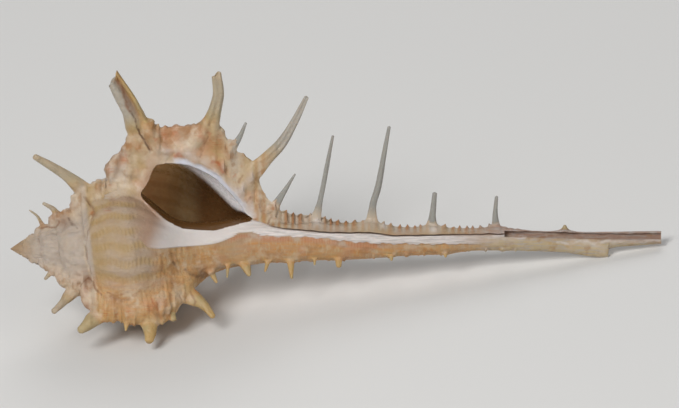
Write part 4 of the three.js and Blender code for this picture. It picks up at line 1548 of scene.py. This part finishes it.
@dataclass
class Marks:
    """Marks that the finish reads, worked out from each vertex's place."""

    form: Form
    relief: Relief
    ribbed_reach: Reach = (1.06, 1.13, 1.9, 2.2)
    corded_reach: Reach = (1.85, 2.1, 2.5, 2.8)
    near_front: Patch = Patch((112, 136, 166, 200), (8, 13, 33, 42))
    low_around: Reach = (85, 105, 320, 350)
    low_reach: Reach = (1.75, 1.95, 2.6, 3.0)
    rim_patch: Patch = Patch((20, 21, 30, 34), (24.8, 26.2, 34.8, 37.4))
    rim_wide: Reach = (29, 32, 36, 38)
    cusped: Patch = Patch((-8, 4, 26, 74), (36, 40, 72, 84))
    fringe_patch: Patch = Patch((60, 75, 120, 130), (32, 34, 56, 60))
    fringe_below: Reach = (-0.1, 0.15, 0.45, 1.25)

    def write(self, shell: Piece) -> None:
        """Write all marks on the shell while it is in its own frame.

        Args:
            shell: The shell.
        """
        place = self.form.places(Bench.points(shell))
        x, y, angle = place.x, place.y, place.angle
        outer, share, face = self.form.surface(x, angle)
        back, growth, u = self.form.measure(place, face)
        varix = np.maximum(share, face)
        glaze = self.relief.glaze_share(place)
        white = self.relief.white_share(place, glaze)
        rim = self.rim(place, face)
        front = ease(-0.5, 1.5, place.points[:, 2])
        furrow = 1 - ease(-0.8, 0.6, self.form.rib_wave(angle + 1.5 * np.sin(1.3 * x)))
        ribbed = furrow * within(self.ribbed_reach, u) * (1 - varix) * np.where(back > 0, 0.25, 1)
        corded = within(self.corded_reach, u) * (1 - 0.8 * face) * (1 - 0.5 * share)
        spots = {name: front * self.spots(place, rows) for name, rows in SPOTS.items()}
        pale_foot = self.feet(place, True)
        marks = {
            "place": x,
            "turn": growth / TURN,
            "height": y,
            "varix": varix,
            "across": self.form.waver(u, angle),
            "ribbed": ribbed * (1 - glaze),
            "corded": corded * (1 - glaze),
            "tan": self.tan(place, u, back) * (1 - glaze),
            "glaze": glaze,
            "white": np.maximum(white, rim),
            "cold": np.maximum(rim, 0.15 * white),
            "spire": np.maximum(ease(0.5, 1.0, back), 1 - ease(1.03, 1.09, u)) * ease(1.0, 4.5, x),
            "foot": self.feet(place, False),
            "pale_foot": pale_foot,
            "face": face * ease(14, 16, x),
            # brown: painted shade in the pits and furrows, with the real stain spots laid in
            "brown": np.maximum(self.brown(place, outer), 0.55 * spots["stain"]),
            "front": front,
            "fleck": spots["fleck"],
            "knot": spots["knot"],
            "amber": spots["amber"] * (1 - glaze),
            "bone": spots["bone"] * (1 - glaze),
            "end": ease(66, 77, x),
            "cusped": self.cusped.share(place) * (1 - pale_foot),
            "fringe": self.fringe(place),
        }
        for name, values in marks.items():
            Bench.mark(shell, name, values)

    def tan(self, place: Places, u: Array, back: Array) -> Array:
        """Share of the tan below the canal, beside the front varix and low on the last whorl.

        Args:
            place: Points of the shell.
            u: Distance from the pole in sutures.
            back: Turns back from the last whorl.

        Returns:
            Shares from 0 to 1.
        """
        x = place.x
        canal = ease(32.5, 37.5, x) * (1 - ease(-0.3, 1.3, place.y - self.form.axis(x) - 0.1 * np.sin(x)))
        low = within(self.low_reach, u) * within(self.low_around, place.angle)
        return np.maximum.reduce([canal, 0.75 * self.near_front.share(place), 0.8 * low * (back == 0)])

    def rim(self, place: Places, face: Array) -> Array:
        """Share of the cold white rim that the lip's face has round the opening.

        Args:
            place: Points of the shell.
            face: 1 on the lip's face.

        Returns:
            Shares from 0 to 1.
        """
        x = place.x
        gap = place.radius - self.form.lip_foot(x) - 0.7 * within(self.rim_wide, x) - 0.15 * np.sin(2.6 * x)
        return face * (1 - ease(0.35, 0.95, gap)) * self.rim_patch.share(place)

    def spots(self, place: Places, spots: Rows) -> Array:
        """Nearness to any of a few round spots of place, height and size."""
        return np.max([blob(place.x - x, place.y - height, size) for x, height, size in spots], axis=0)

    def feet(self, place: Places, thin: bool) -> Array:
        """Share of the flush round the feet of the spines.

        Args:
            place: Points of the shell.
            thin: Whether the feet of the glassy spines are meant, or those of the others.

        Returns:
            Shares from 0 to 1.
        """
        flush = np.zeros(len(place.x))
        for row, spines in SPINES.items():
            away = np.radians(row.away(place.angle))
            for spine in [s for s in spines if s.thin == thin]:
                x, radius, width = spine.path[0]
                flush = np.maximum(flush, blob(place.x - x, away * radius, 0.5 + 0.6 * width))
        return flush

    def brown(self, place: Places, outer: Array) -> Array:
        """Share of the painted shade, a brown, in the pits, measured on the outer form, and in the furrows.
        """
        pits = 0.55 * ease(0.2, 0.7, self.relief.pit_share(place, outer))
        return np.maximum.reduce([pits, *(0.5 * fold.share(place.points) for fold in SEAMS)])

    def fringe(self, place: Places) -> Array:
        """Share of the strip of short dashes below the white band."""
        strip = within(self.fringe_below, self.relief.glaze_edge(place.x) - place.y)
        return strip * self.fringe_patch.share(place)


def rgb(red: int, green: int, blue: int) -> Colour:
    """Colour of the screen, 0 to 255, as the linear colour with alpha that a shader takes."""
    linear = [((c / 255 + 0.055) / 1.055) ** 2.4 if c > 10 else c / 255 / 12.92 for c in (red, green, blue)]
    return (*linear, 1.0)


@dataclass(frozen=True)
class Value:
    """Output of a node that formulas can be written with."""

    nodes: "Nodes"
    socket: bpy.types.NodeSocket

    def __mul__(self, other: object) -> "Value":
        """Multiply by another value or a number."""
        return self.nodes.math("MULTIPLY", self, other)

    def __add__(self, other: object) -> "Value":
        """Add another value or a number."""
        return self.nodes.math("ADD", self, other)

    def __truediv__(self, other: object) -> "Value":
        """Divide by another value or a number."""
        return self.nodes.math("DIVIDE", self, other)

    def span(self, low: float, high: float, start: float = 0.0, end: float = 1.0) -> "Value":
        """Map the value smoothly from low and high to start and end."""
        inputs = {"Value": self, "From Min": low, "From Max": high, "To Min": start, "To Max": end}
        return self.nodes.make("ShaderNodeMapRange", "Result", inputs, interpolation_type="SMOOTHSTEP")


class Nodes:
    """Builds a node tree in a few words."""

    def __init__(self, name: str) -> None:
        """Start a material with its shader.

        Args:
            name: Name of the material.
        """
        self.material = bpy.data.materials.new(name)
        self.material.use_nodes = True
        self.tree = self.material.node_tree
        self.shader = self.tree.nodes["Principled BSDF"]
        self.coordinates = self.make("ShaderNodeTexCoord", "Object", {})

    def put(self, socket: bpy.types.NodeSocket, value: object) -> None:
        """Link a value to a socket, or set the socket's own value.

        Args:
            socket: Input of a node.
            value: Value or plain number, none to leave it as it is.
        """
        if isinstance(value, Value):
            self.tree.links.new(value.socket, socket)
        elif value is not None:
            socket.default_value = value

    def make(self, kind: str, output: str | int, inputs: dict, **settings: object) -> Value:
        """Add a node.

        Args:
            kind: Type of the node.
            output: Name or number of the output that is wanted.
            inputs: What goes into its inputs, by name or number.
            settings: Values of its other properties.

        Returns:
            The output.
        """
        node = self.tree.nodes.new(kind)
        for name, value in settings.items():
            setattr(node, name, value)
        for key, value in inputs.items():
            self.put(node.inputs[key], value)
        return Value(self, node.outputs[output])

    def marks(self, *names: str) -> list[Value]:
        """Read some of the shell's marks."""
        return [self.make("ShaderNodeAttribute", "Fac", {}, attribute_name=name) for name in names]

    def mark(self, name: str) -> Value:
        """Read one of the shell's marks."""
        return self.marks(name)[0]

    def math(self, operation: str, *values: object) -> Value:
        """Work out a number from up to three others."""
        return self.make("ShaderNodeMath", 0, dict(enumerate(values)), operation=operation)

    def most(self, first: object, *others: object) -> Value:
        """Largest of a few numbers."""
        return reduce(partial(self.math, "MAXIMUM"), others, first)

    def phase(self, wave: Wave, t: Value) -> Value:
        """Phase of an uneven wave, whose cosine is the wave.

        Args:
            wave: The wave, as the form has it.
            t: Places along it.

        Returns:
            Phases.
        """
        turns = 2 * math.pi / wave.step
        phase = self.math("MULTIPLY_ADD", t, turns, -turns * wave.start)
        for rate, size, shift in wave.sways:
            sway = self.math("SINE", self.math("MULTIPLY_ADD", t, rate, shift))
            phase = self.math("MULTIPLY_ADD", sway, size, phase)
        return phase

    def noise(self, scale: float, detail: float, vector: Value, output: str = "Fac") -> Value:
        """Cloudy noise, as a number or with the output Color as a vector."""
        inputs = {"Scale": scale, "Detail": detail, "Vector": vector}
        return self.make("ShaderNodeTexNoise", output, inputs)

    def cloud(self, scale: float, detail: float, shift: float = 0.0) -> Value:
        """Cloudy noise on the object's coordinates, moved aside to be unlike the others."""
        return self.noise(scale, detail, self.vector_math("ADD", self.coordinates, (shift, shift, shift)))

    def streaks(self, detail: float, along: float, up: float, shift: float, other: str = "height") -> Value:
        """Noise with so many streaks in a unit of place and of another mark."""
        return self.noise(1.0, detail, self.vector(self.mark("place") * along, self.mark(other) * up, shift))

    def vector(self, *values: object) -> Value:
        """Put three numbers together as a vector."""
        return self.make("ShaderNodeCombineXYZ", 0, dict(enumerate(values)))

    def vector_math(self, operation: str, a: object, b: object = None, scale: object = None) -> Value:
        """Work out a vector or a number from two vectors or a vector and a number."""
        output = "Value" if operation in ("DOT_PRODUCT", "DISTANCE") else "Vector"
        return self.make("ShaderNodeVectorMath", output, {0: a, 1: b, 3: scale}, operation=operation)

    def mix(self, share: object, a: object, b: object, kind: Blend = Blend.COLOUR) -> Value:
        """Mix two colours or two numbers."""
        data_type, first, output = kind.value
        return self.make("ShaderNodeMix", output, {0: share, first: a, first + 1: b}, data_type=data_type)

    def paint(self, colour: object, *layers: tuple[object, object]) -> Value:
        """Lay colours over a ground.

        Args:
            colour: Colour of the ground.
            layers: Share and colour of each layer, from the lowest.

        Returns:
            The colour seen.
        """
        for share, tint in layers:
            colour = self.mix(share, colour, tint)
        return colour

    def stroke(self, spot: Value, line: Rows, width: float) -> Value:
        """Nearness to a thin line on the front.

        Args:
            spot: Place and height as a vector.
            line: Corners of the line.
            width: Its width.

        Returns:
            1 on the line and 0 beside it.
        """
        gaps = []
        for a, b in zip(line[:-1], line[1:]):
            along = Vector((b[0] - a[0], b[1] - a[1], 0.0))
            gap = self.vector_math("SUBTRACT", spot, (a[0], a[1], 0.0))
            share = self.vector_math("DOT_PRODUCT", gap, tuple(along / along.length_squared))
            held = self.most(self.math("MINIMUM", share, 1.0), 0.0)
            foot = self.vector_math("SCALE", tuple(along), None, held)
            gaps.append(self.vector_math("DISTANCE", gap, foot))
        nearest = reduce(partial(self.math, "MINIMUM"), gaps)
        return nearest.span(0.1 * width, 1.1 * width, 1.0, 0.0)


@dataclass(frozen=True)
class ShellFinish:
    """Cream and tan outside with ochre between the ribs, white glazed lip, brown inside, with painted light
    in the chamber and painted shade and highlights in places.
    """

    cream: Colour = rgb(174, 148, 112)
    pale: Colour = rgb(172, 150, 128)
    chalk: Colour = rgb(202, 182, 156)
    flush: Colour = rgb(158, 112, 66)
    lilac: Colour = rgb(185, 171, 158)
    ochre: Colour = rgb(170, 139, 86)
    tan: Colour = rgb(198, 142, 80)
    yellow: Colour = rgb(180, 148, 92)
    salmon: Colour = rgb(192, 134, 100)
    rust: Colour = rgb(172, 96, 50)
    fleck: Colour = rgb(188, 116, 70)
    end_top: Colour = rgb(166, 138, 122)
    end_low: Colour = rgb(190, 170, 134)
    end_spot: Colour = rgb(190, 150, 92)
    grey: Colour = rgb(178, 168, 160)
    cusp: Colour = rgb(172, 116, 68)
    brown: Colour = rgb(126, 82, 48)
    umber: Colour = rgb(92, 62, 36)
    amber: Colour = rgb(172, 130, 82)
    bone: Colour = rgb(186, 170, 150)
    film: Colour = rgb(160, 126, 102)
    film_pale: Colour = rgb(174, 142, 120)
    nacre: Colour = rgb(196, 182, 164)
    white: Colour = rgb(216, 206, 198)
    cold: Colour = rgb(200, 199, 206)
    # lip_inside, inside and inside_dark are painted light: much paler than the shell's own white and brown,
    # to make up for the shade in the chamber
    lip_inside: Colour = rgb(246, 243, 244)
    inside: Colour = rgb(252, 216, 160)
    inside_dark: Colour = rgb(226, 184, 126)
    inside_right: Colour = rgb(92, 62, 34)
    inside_edge: Colour = rgb(98, 67, 36)
    spine: Colour = rgb(170, 151, 108)
    ivory: Colour = rgb(165, 157, 145)
    glassy: Colour = rgb(149, 147, 140)
    fine_step: float = 0.052
    inside_bands: int = 25
    stroke_sway: float = 0.9

    def material(self) -> bpy.types.Material:
        """Make the finish.

        Returns:
            The material.
        """
        n = Nodes("murex_shell_finish")
        colour = self.outside(n)
        for coat in (self.mottled, self.spines, self.strokes, self.glazed, self.inside_wall):
            colour = coat(n, colour)
        glaze, white, thin, hollow = n.marks("glaze", "white", "thin", "hollow")
        glossy = n.most(glaze, white, thin * 0.8, hollow * 0.75)
        dull = n.cloud(900.0, 4.0).span(0.3, 0.7, 0.38, 0.6)
        lines = n.streaks(3.0, 0.5, 700.0, 0.0, "turn")
        grooves = self.fine_cords(n) * (n.mark("ribbed") * 0.13)
        height = n.cloud(1500.0, 6.0) + lines * 0.6 + grooves + n.cloud(520.0, 4.0, 7.0)
        height = height * n.mix(glossy, 1.0, 0.25, Blend.NUMBER)
        bump = {"Strength": 0.55, "Distance": 0.00035, "Height": height}
        surface = {
            "Base Color": colour,
            "Roughness": n.mix(glossy, dull, 0.2, Blend.NUMBER),
            "Subsurface Weight": 0.15,
            "Subsurface Radius": (1.0, 0.6, 0.35),
            "Subsurface Scale": 0.0012,
            "Normal": n.make("ShaderNodeBump", "Normal", bump),
        }
        for name, value in surface.items():
            n.put(n.shader.inputs[name], value)
        return n.material

    def fine_cords(self, n: Nodes) -> Value:
        """Wave of the finest cords, finer than those that the form has."""
        return n.math("SINE", n.mark("across") * (2 * math.pi / self.fine_step))

    def outside(self, n: Nodes) -> Value:
        """Colours of the outer surface.

        Args:
            n: Tree of the finish.

        Returns:
            The colour, without specks.
        """
        varix, tan, spire, fleck = n.marks("varix", "tan", "spire", "fleck")
        fine = self.fine_cords(n) + n.cloud(520.0, 3.0, 3.0).span(0.3, 0.7, -0.8, 0.8)
        bands = n.mark("ribbed") * fine.span(-0.9, 0.9, 1.0, 0.82)
        cords = n.math("COSINE", n.phase(CORDS, n.mark("across")))
        stripes = n.mark("corded") * cords.span(-0.8, 0.5, 0.8, 0.0)
        ochre = n.most(bands, stripes) * n.cloud(230.0, 4.0).span(0.3, 0.6, 0.45, 0.95)
        torn = n.cloud(430.0, 4.0, 6.0).span(0.32, 0.6, 0.25, 0.95)
        colour = n.paint(
            self.cream,
            (n.cloud(150.0, 5.0).span(0.38, 0.62), self.pale),
            (spire * 0.8, self.lilac),
            (spire * n.cloud(260.0, 4.0, 5.0).span(0.45, 0.62, 0.0, 0.6), self.chalk),
            (n.mark("face") * n.cloud(170.0, 3.0, 9.0).span(0.4, 0.6, 0.25, 0.9), self.bone),
            (varix * n.cloud(190.0, 3.0).span(0.45, 0.62, 0.05, 0.7), self.yellow),
            (ochre * 0.8, self.ochre),
            (tan * n.streaks(5.0, 0.35, 2.4, 0.0).span(0.3, 0.62, 1.0, 0.5), self.tan),
            (tan * n.streaks(4.0, 2.6, 0.9, 5.0).span(0.48, 0.64, 0.0, 0.5), self.end_low),
            (n.mark("foot") * 0.55, self.yellow),
            (n.mark("pale_foot") * 0.8, self.nacre),
            (n.most(varix, tan) * n.cloud(240.0, 3.0).span(0.5, 0.66) * 0.48, self.salmon),
            (varix * n.cloud(560.0, 3.0).span(0.6, 0.7) * 0.45, self.rust),
            (spire * 0.5, self.lilac),
            (fleck * n.cloud(480.0, 3.0, 2.0).span(0.38, 0.6, 0.05, 0.7), self.fleck),
            (fleck * n.streaks(3.0, 0.45, 5.0, 0.0).span(0.48, 0.62, 0.0, 0.6), self.rust),
            (n.mark("amber") * torn, self.flush),
            # bone mark: pale patches, one of them a painted highlight low on the whorl
            (n.mark("bone") * torn * 0.9, self.chalk),
        )
        return n.paint(
            self.dashes(n, colour),
            (n.mark("end"), self.canal_end(n)),
            (n.mark("knot") * 0.8, self.white),
            (n.mark("place").span(0.5, 5.0, 0.4, 0.0), self.amber),
            # brown mark: painted shade in the pits and furrows, and the stain spots
            (n.mark("brown"), self.brown),
        )

    def mottled(self, n: Nodes, colour: Value) -> Value:
        """Small darker and paler specks, thickest on the varices and the tan parts.

        Args:
            n: Tree of the finish.
            colour: Colour beneath.

        Returns:
            The colour with the specks.
        """
        share = n.most(*n.marks("varix", "tan")).span(0.0, 0.7, 0.2, 1.0)
        dark = share * n.cloud(620.0, 6.0, 7.0).span(0.52, 0.68, 0.0, 0.5)
        pale = share * n.cloud(540.0, 6.0, 8.0).span(0.52, 0.66, 0.0, 0.45)
        return n.paint(colour, (dark, self.flush), (pale, self.chalk))

    def canal_end(self, n: Nodes) -> Value:
        """Pinkish top and yellowish underside of the canal's end, with grey streaks.

        Args:
            n: Tree of the finish.

        Returns:
            The colour.
        """
        rise = n.math("MULTIPLY_ADD", n.mark("place"), 0.035, n.mark("height"))
        return n.paint(
            self.end_low,
            (n.cloud(210.0, 3.0, 1.0).span(0.48, 0.62, 0.0, 0.7), self.end_spot),
            (rise.span(3.2, 4.4), self.end_top),
            (n.streaks(4.0, 0.5, 3.0, 7.0).span(0.45, 0.62, 0.0, 0.7), self.grey),
        )

    def dashes(self, n: Nodes, colour: Value) -> Value:
        """Rusty dashes on the cusps of the canal and below its white band.

        Args:
            n: Tree of the finish.
            colour: Colour beneath.

        Returns:
            The colour with the dashes.
        """
        place, cusped, fringe = n.marks("place", "cusped", "fringe")
        phase = n.phase(CUSPS, place)
        wave = n.math("COSINE", phase + 0.5)
        fine = n.math("COSINE", place * 9.5 + phase)
        gaps = n.math("COSINE", n.math("MULTIPLY_ADD", place, 0.952, -35.8))
        gaps = gaps + n.cloud(500.0, 3.0).span(0.3, 0.7, -0.5, 0.5)
        patch = n.cloud(380.0, 3.0).span(0.32, 0.55, 0.3, 0.85)
        return n.paint(
            colour,
            (cusped * wave.span(-1.0, 0.1, 0.8, 0.0), self.nacre),
            (cusped * wave.span(0.1, 0.8) * patch, self.cusp),
            (fringe * n.cloud(330.0, 4.0, 4.0).span(0.35, 0.6, 0.15, 0.75), self.salmon),
            (fringe * fine.span(-0.2, 0.9, 0.0, 0.4) * patch, self.rust),
            (fringe * gaps.span(0.4, 1.2, 0.0, 0.8), self.bone),
        )

    def spines(self, n: Nodes, colour: Value) -> Value:
        """Yellow-cream thick spines, brown painted shade in their grooves, and glassy thin ones.

        Args:
            n: Tree of the finish.
            colour: Colour beneath.

        Returns:
            The colour with the spines.
        """
        way = n.mark("way")
        tint = n.mix(n.cloud(300.0, 4.0).span(0.4, 0.6), self.spine, self.yellow)
        return n.paint(
            colour,
            (way.span(0.02, 0.35) * 0.85, tint),
            (n.mark("ivory"), self.ivory),
            (n.mark("thin") * way.span(0.02, 0.2), self.glassy),
            # painted shade: brown in the grooves of the open spines and on the walls of the slit and the
            # gutter
            (n.mark("shade"), self.brown),
        )

    def strokes(self, n: Nodes, colour: Value) -> Value:
        """Thin dark, rusty and pale lines where the shell is folded or grown over; a few pale ones are
        painted highlights on edges and a ridge, and a few dark ones painted shade in a spine's channel and
        below that ridge.

        Args:
            n: Tree of the finish.
            colour: Colour beneath.

        Returns:
            The colour with the lines.
        """
        sway = self.stroke_sway
        cloud = n.vector_math("SCALE", n.noise(520.0, 2.0, n.coordinates, "Color"), None, sway)
        spot = n.vector(n.mark("place") + -sway / 2, n.mark("height") + -sway / 2, 0.0)
        spot = n.vector_math("MULTIPLY", n.vector_math("ADD", spot, cloud), (1.0, 1.0, 0.0))
        torn = n.mark("front") * n.cloud(700.0, 3.0).span(0.35, 0.6, 0.25, 1.0)
        layers = [(n.stroke(spot, line, width) * (torn * share), getattr(self, name))
                  for line, width, share, name in STROKES]
        return n.paint(colour, *layers)

    def glazed(self, n: Nodes, colour: Value) -> Value:
        """Tan film over the whorl behind the inner lip, and the white band.

        Args:
            n: Tree of the finish.
            colour: Colour beneath.

        Returns:
            The colour with the glaze.
        """
        film = n.mix(n.cloud(160.0, 4.0).span(0.42, 0.68), self.film, self.film_pale)
        streaks = n.streaks(4.0, 0.4, 4.0, 2.0).span(0.4, 0.62, 0.0, 0.8)
        white = n.mix(n.mark("place").span(33.0, 42.0) * streaks, self.white, self.grey)
        return n.paint(colour, (n.mark("glaze") * 0.92, film), (n.mark("white"), white),
                       (n.mark("cold"), self.cold))

    def inside_wall(self, n: Nodes, colour: Value) -> Value:
        """White rim that turns brown further in, with faint bands. The white of the inner slope and the brown
        deep in are painted much paler than the shell's own colours, as painted light in the chamber's shade;
        the brown is darker towards the right and near the inner edge.

        Args:
            n: Tree of the finish.
            colour: Colour of the outside.

        Returns:
            The colour of the whole shell.
        """
        hollow = n.mark("hollow")
        depth, rim = (value / n.most(hollow, 0.05) for value in n.marks("depth", "rim"))
        bands = n.math("SINE", n.mark("turn") * (2 * math.pi * self.inside_bands))
        # painted light: the pale inside and lip_inside stand in for light in the shaded chamber; darker
        # towards the right and near the inner edge
        wall = n.paint(
            self.inside,
            (bands.span(-0.5, 1.0, 0.0, 0.55), self.inside_dark),
            (n.mark("place").span(23.0, 30.0), self.inside_right),
            (rim.span(0.0, 0.4, 1.0, 0.0) * depth.span(2.0, 9.0, 1.0, 0.0), self.inside_edge),
            (rim.span(0.0, 0.7) * depth.span(2.8, 6.2, 1.0, 0.0), self.lip_inside),
        )
        return n.mix(hollow, colour, wall)


@dataclass
class Murex:
    """The whole shell."""

    form: Form = field(default_factory=Form)
    rest: Rest = field(default_factory=Rest)
    finish: ShellFinish = field(default_factory=ShellFinish)

    def build(self) -> Piece:
        """Model the shell, lay it down and dress it.

        Returns:
            The finished shell, in metres.
        """
        relief = Relief(self.form)
        shell = Body(self.form, relief).build()
        logger.info("body has %d faces", len(shell.data.polygons))
        for row, spines in SPINES.items():
            Bench.combine(shell, SpineRow(self.form, row, spines).build(), Op.JOIN)
            logger.info("%s spines joined, %d faces", row.name.lower(), len(shell.data.polygons))
        Bench.soften(shell, "way", 0.8, 12)
        Chamber(self.form).cut(shell)
        logger.info("chamber cut, %d faces", len(shell.data.polygons))
        Bench.soften(shell, "hollow", 0.5, 8)
        Marks(self.form, relief).write(shell)
        self.rest.lay_down(shell)
        Bench.pick(shell)
        bpy.ops.object.shade_smooth_by_angle(angle=math.radians(60))
        shell.data.materials.clear()
        shell.data.materials.append(self.finish.material())
        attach(shell, "root")
        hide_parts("shell")
        return shell


@dataclass
class Studio:
    """Pale floor, soft lights and the camera that looks as the photo does."""

    rest: Rest
    frame_width: float = 679 * 0.1536
    centre: tuple[float, float, float] = (50.61, 6.3, 0.0)
    lens: float = 400.0
    sensor: float = 36.0

    def floor(self) -> None:
        """Wide pale floor."""
        Bench.clear()
        bpy.ops.mesh.primitive_plane_add(size=6.0, location=(0, 0, 0))
        ground = bpy.context.object
        ground.name = "floor"
        material = bpy.data.materials.new("floor_paper")
        material.use_nodes = True
        shader = material.node_tree.nodes["Principled BSDF"]
        shader.inputs["Base Color"].default_value = (0.72, 0.71, 0.69, 1.0)
        shader.inputs["Roughness"].default_value = 0.9
        ground.data.materials.append(material)

    def light(self, name: str, place: tuple, size: float, power: float) -> None:
        """Add a soft light that looks at the shell.

        Args:
            name: Name of the light.
            place: Where it stands, in metres.
            size: Its width, in metres.
            power: Its power, in watts.
        """
        lamp = bpy.data.lights.new(name, "AREA")
        lamp.size = size
        lamp.energy = power
        light = bpy.data.objects.new(name, lamp)
        light.location = place
        light.rotation_euler = (-Vector(place)).to_track_quat("-Z", "Y").to_euler()
        bpy.context.collection.objects.link(light)

    def camera(self) -> None:
        """Camera square to the shell's axis, seen from the side of its opening."""
        turn = self.rest.turn()
        right, up, back = (Vector(turn[:, i]) for i in range(3))
        target = Vector(self.rest.world(np.array([self.centre]))[0])
        distance = self.frame_width * MM * self.lens / self.sensor
        data = bpy.data.cameras.new("photo_camera")
        data.lens = self.lens
        data.sensor_width = self.sensor
        camera = bpy.data.objects.new("photo_camera", data)
        camera.matrix_world = Matrix.Translation(target + back * distance) @ Matrix(
            (right, up, back)).transposed().to_4x4()
        bpy.context.collection.objects.link(camera)
        bpy.context.scene.camera = camera

    def sky(self) -> None:
        """Even pale surroundings."""
        world = bpy.data.worlds.new("studio_air")
        world.use_nodes = True
        background = world.node_tree.nodes["Background"]
        background.inputs["Color"].default_value = (0.9, 0.92, 0.95, 1.0)
        background.inputs["Strength"].default_value = 0.22
        bpy.context.scene.world = world

    def build(self) -> None:
        """Set the whole studio up."""
        self.floor()
        self.light("key_light", (-0.28, -0.5, 0.55), 0.34, 4.4)
        self.light("fill_light", (0.5, -0.5, 0.35), 0.6, 0.9)
        self.light("back_light", (0.1, 0.6, 0.5), 0.5, 1.9)
        bpy.context.scene.view_settings.view_transform = "Standard"
        self.camera()
        self.sky()


def main() -> None:
    """Build the shell and the studio, and note the sizes."""
    logging.basicConfig(level=logging.INFO, format="%(name)s: %(message)s")
    murex = Murex()
    shell = murex.build()
    logger.info("%s has %d faces", shell.name, len(shell.data.polygons))
    Studio(murex.rest).build()


if __name__ == "__main__":
    main()
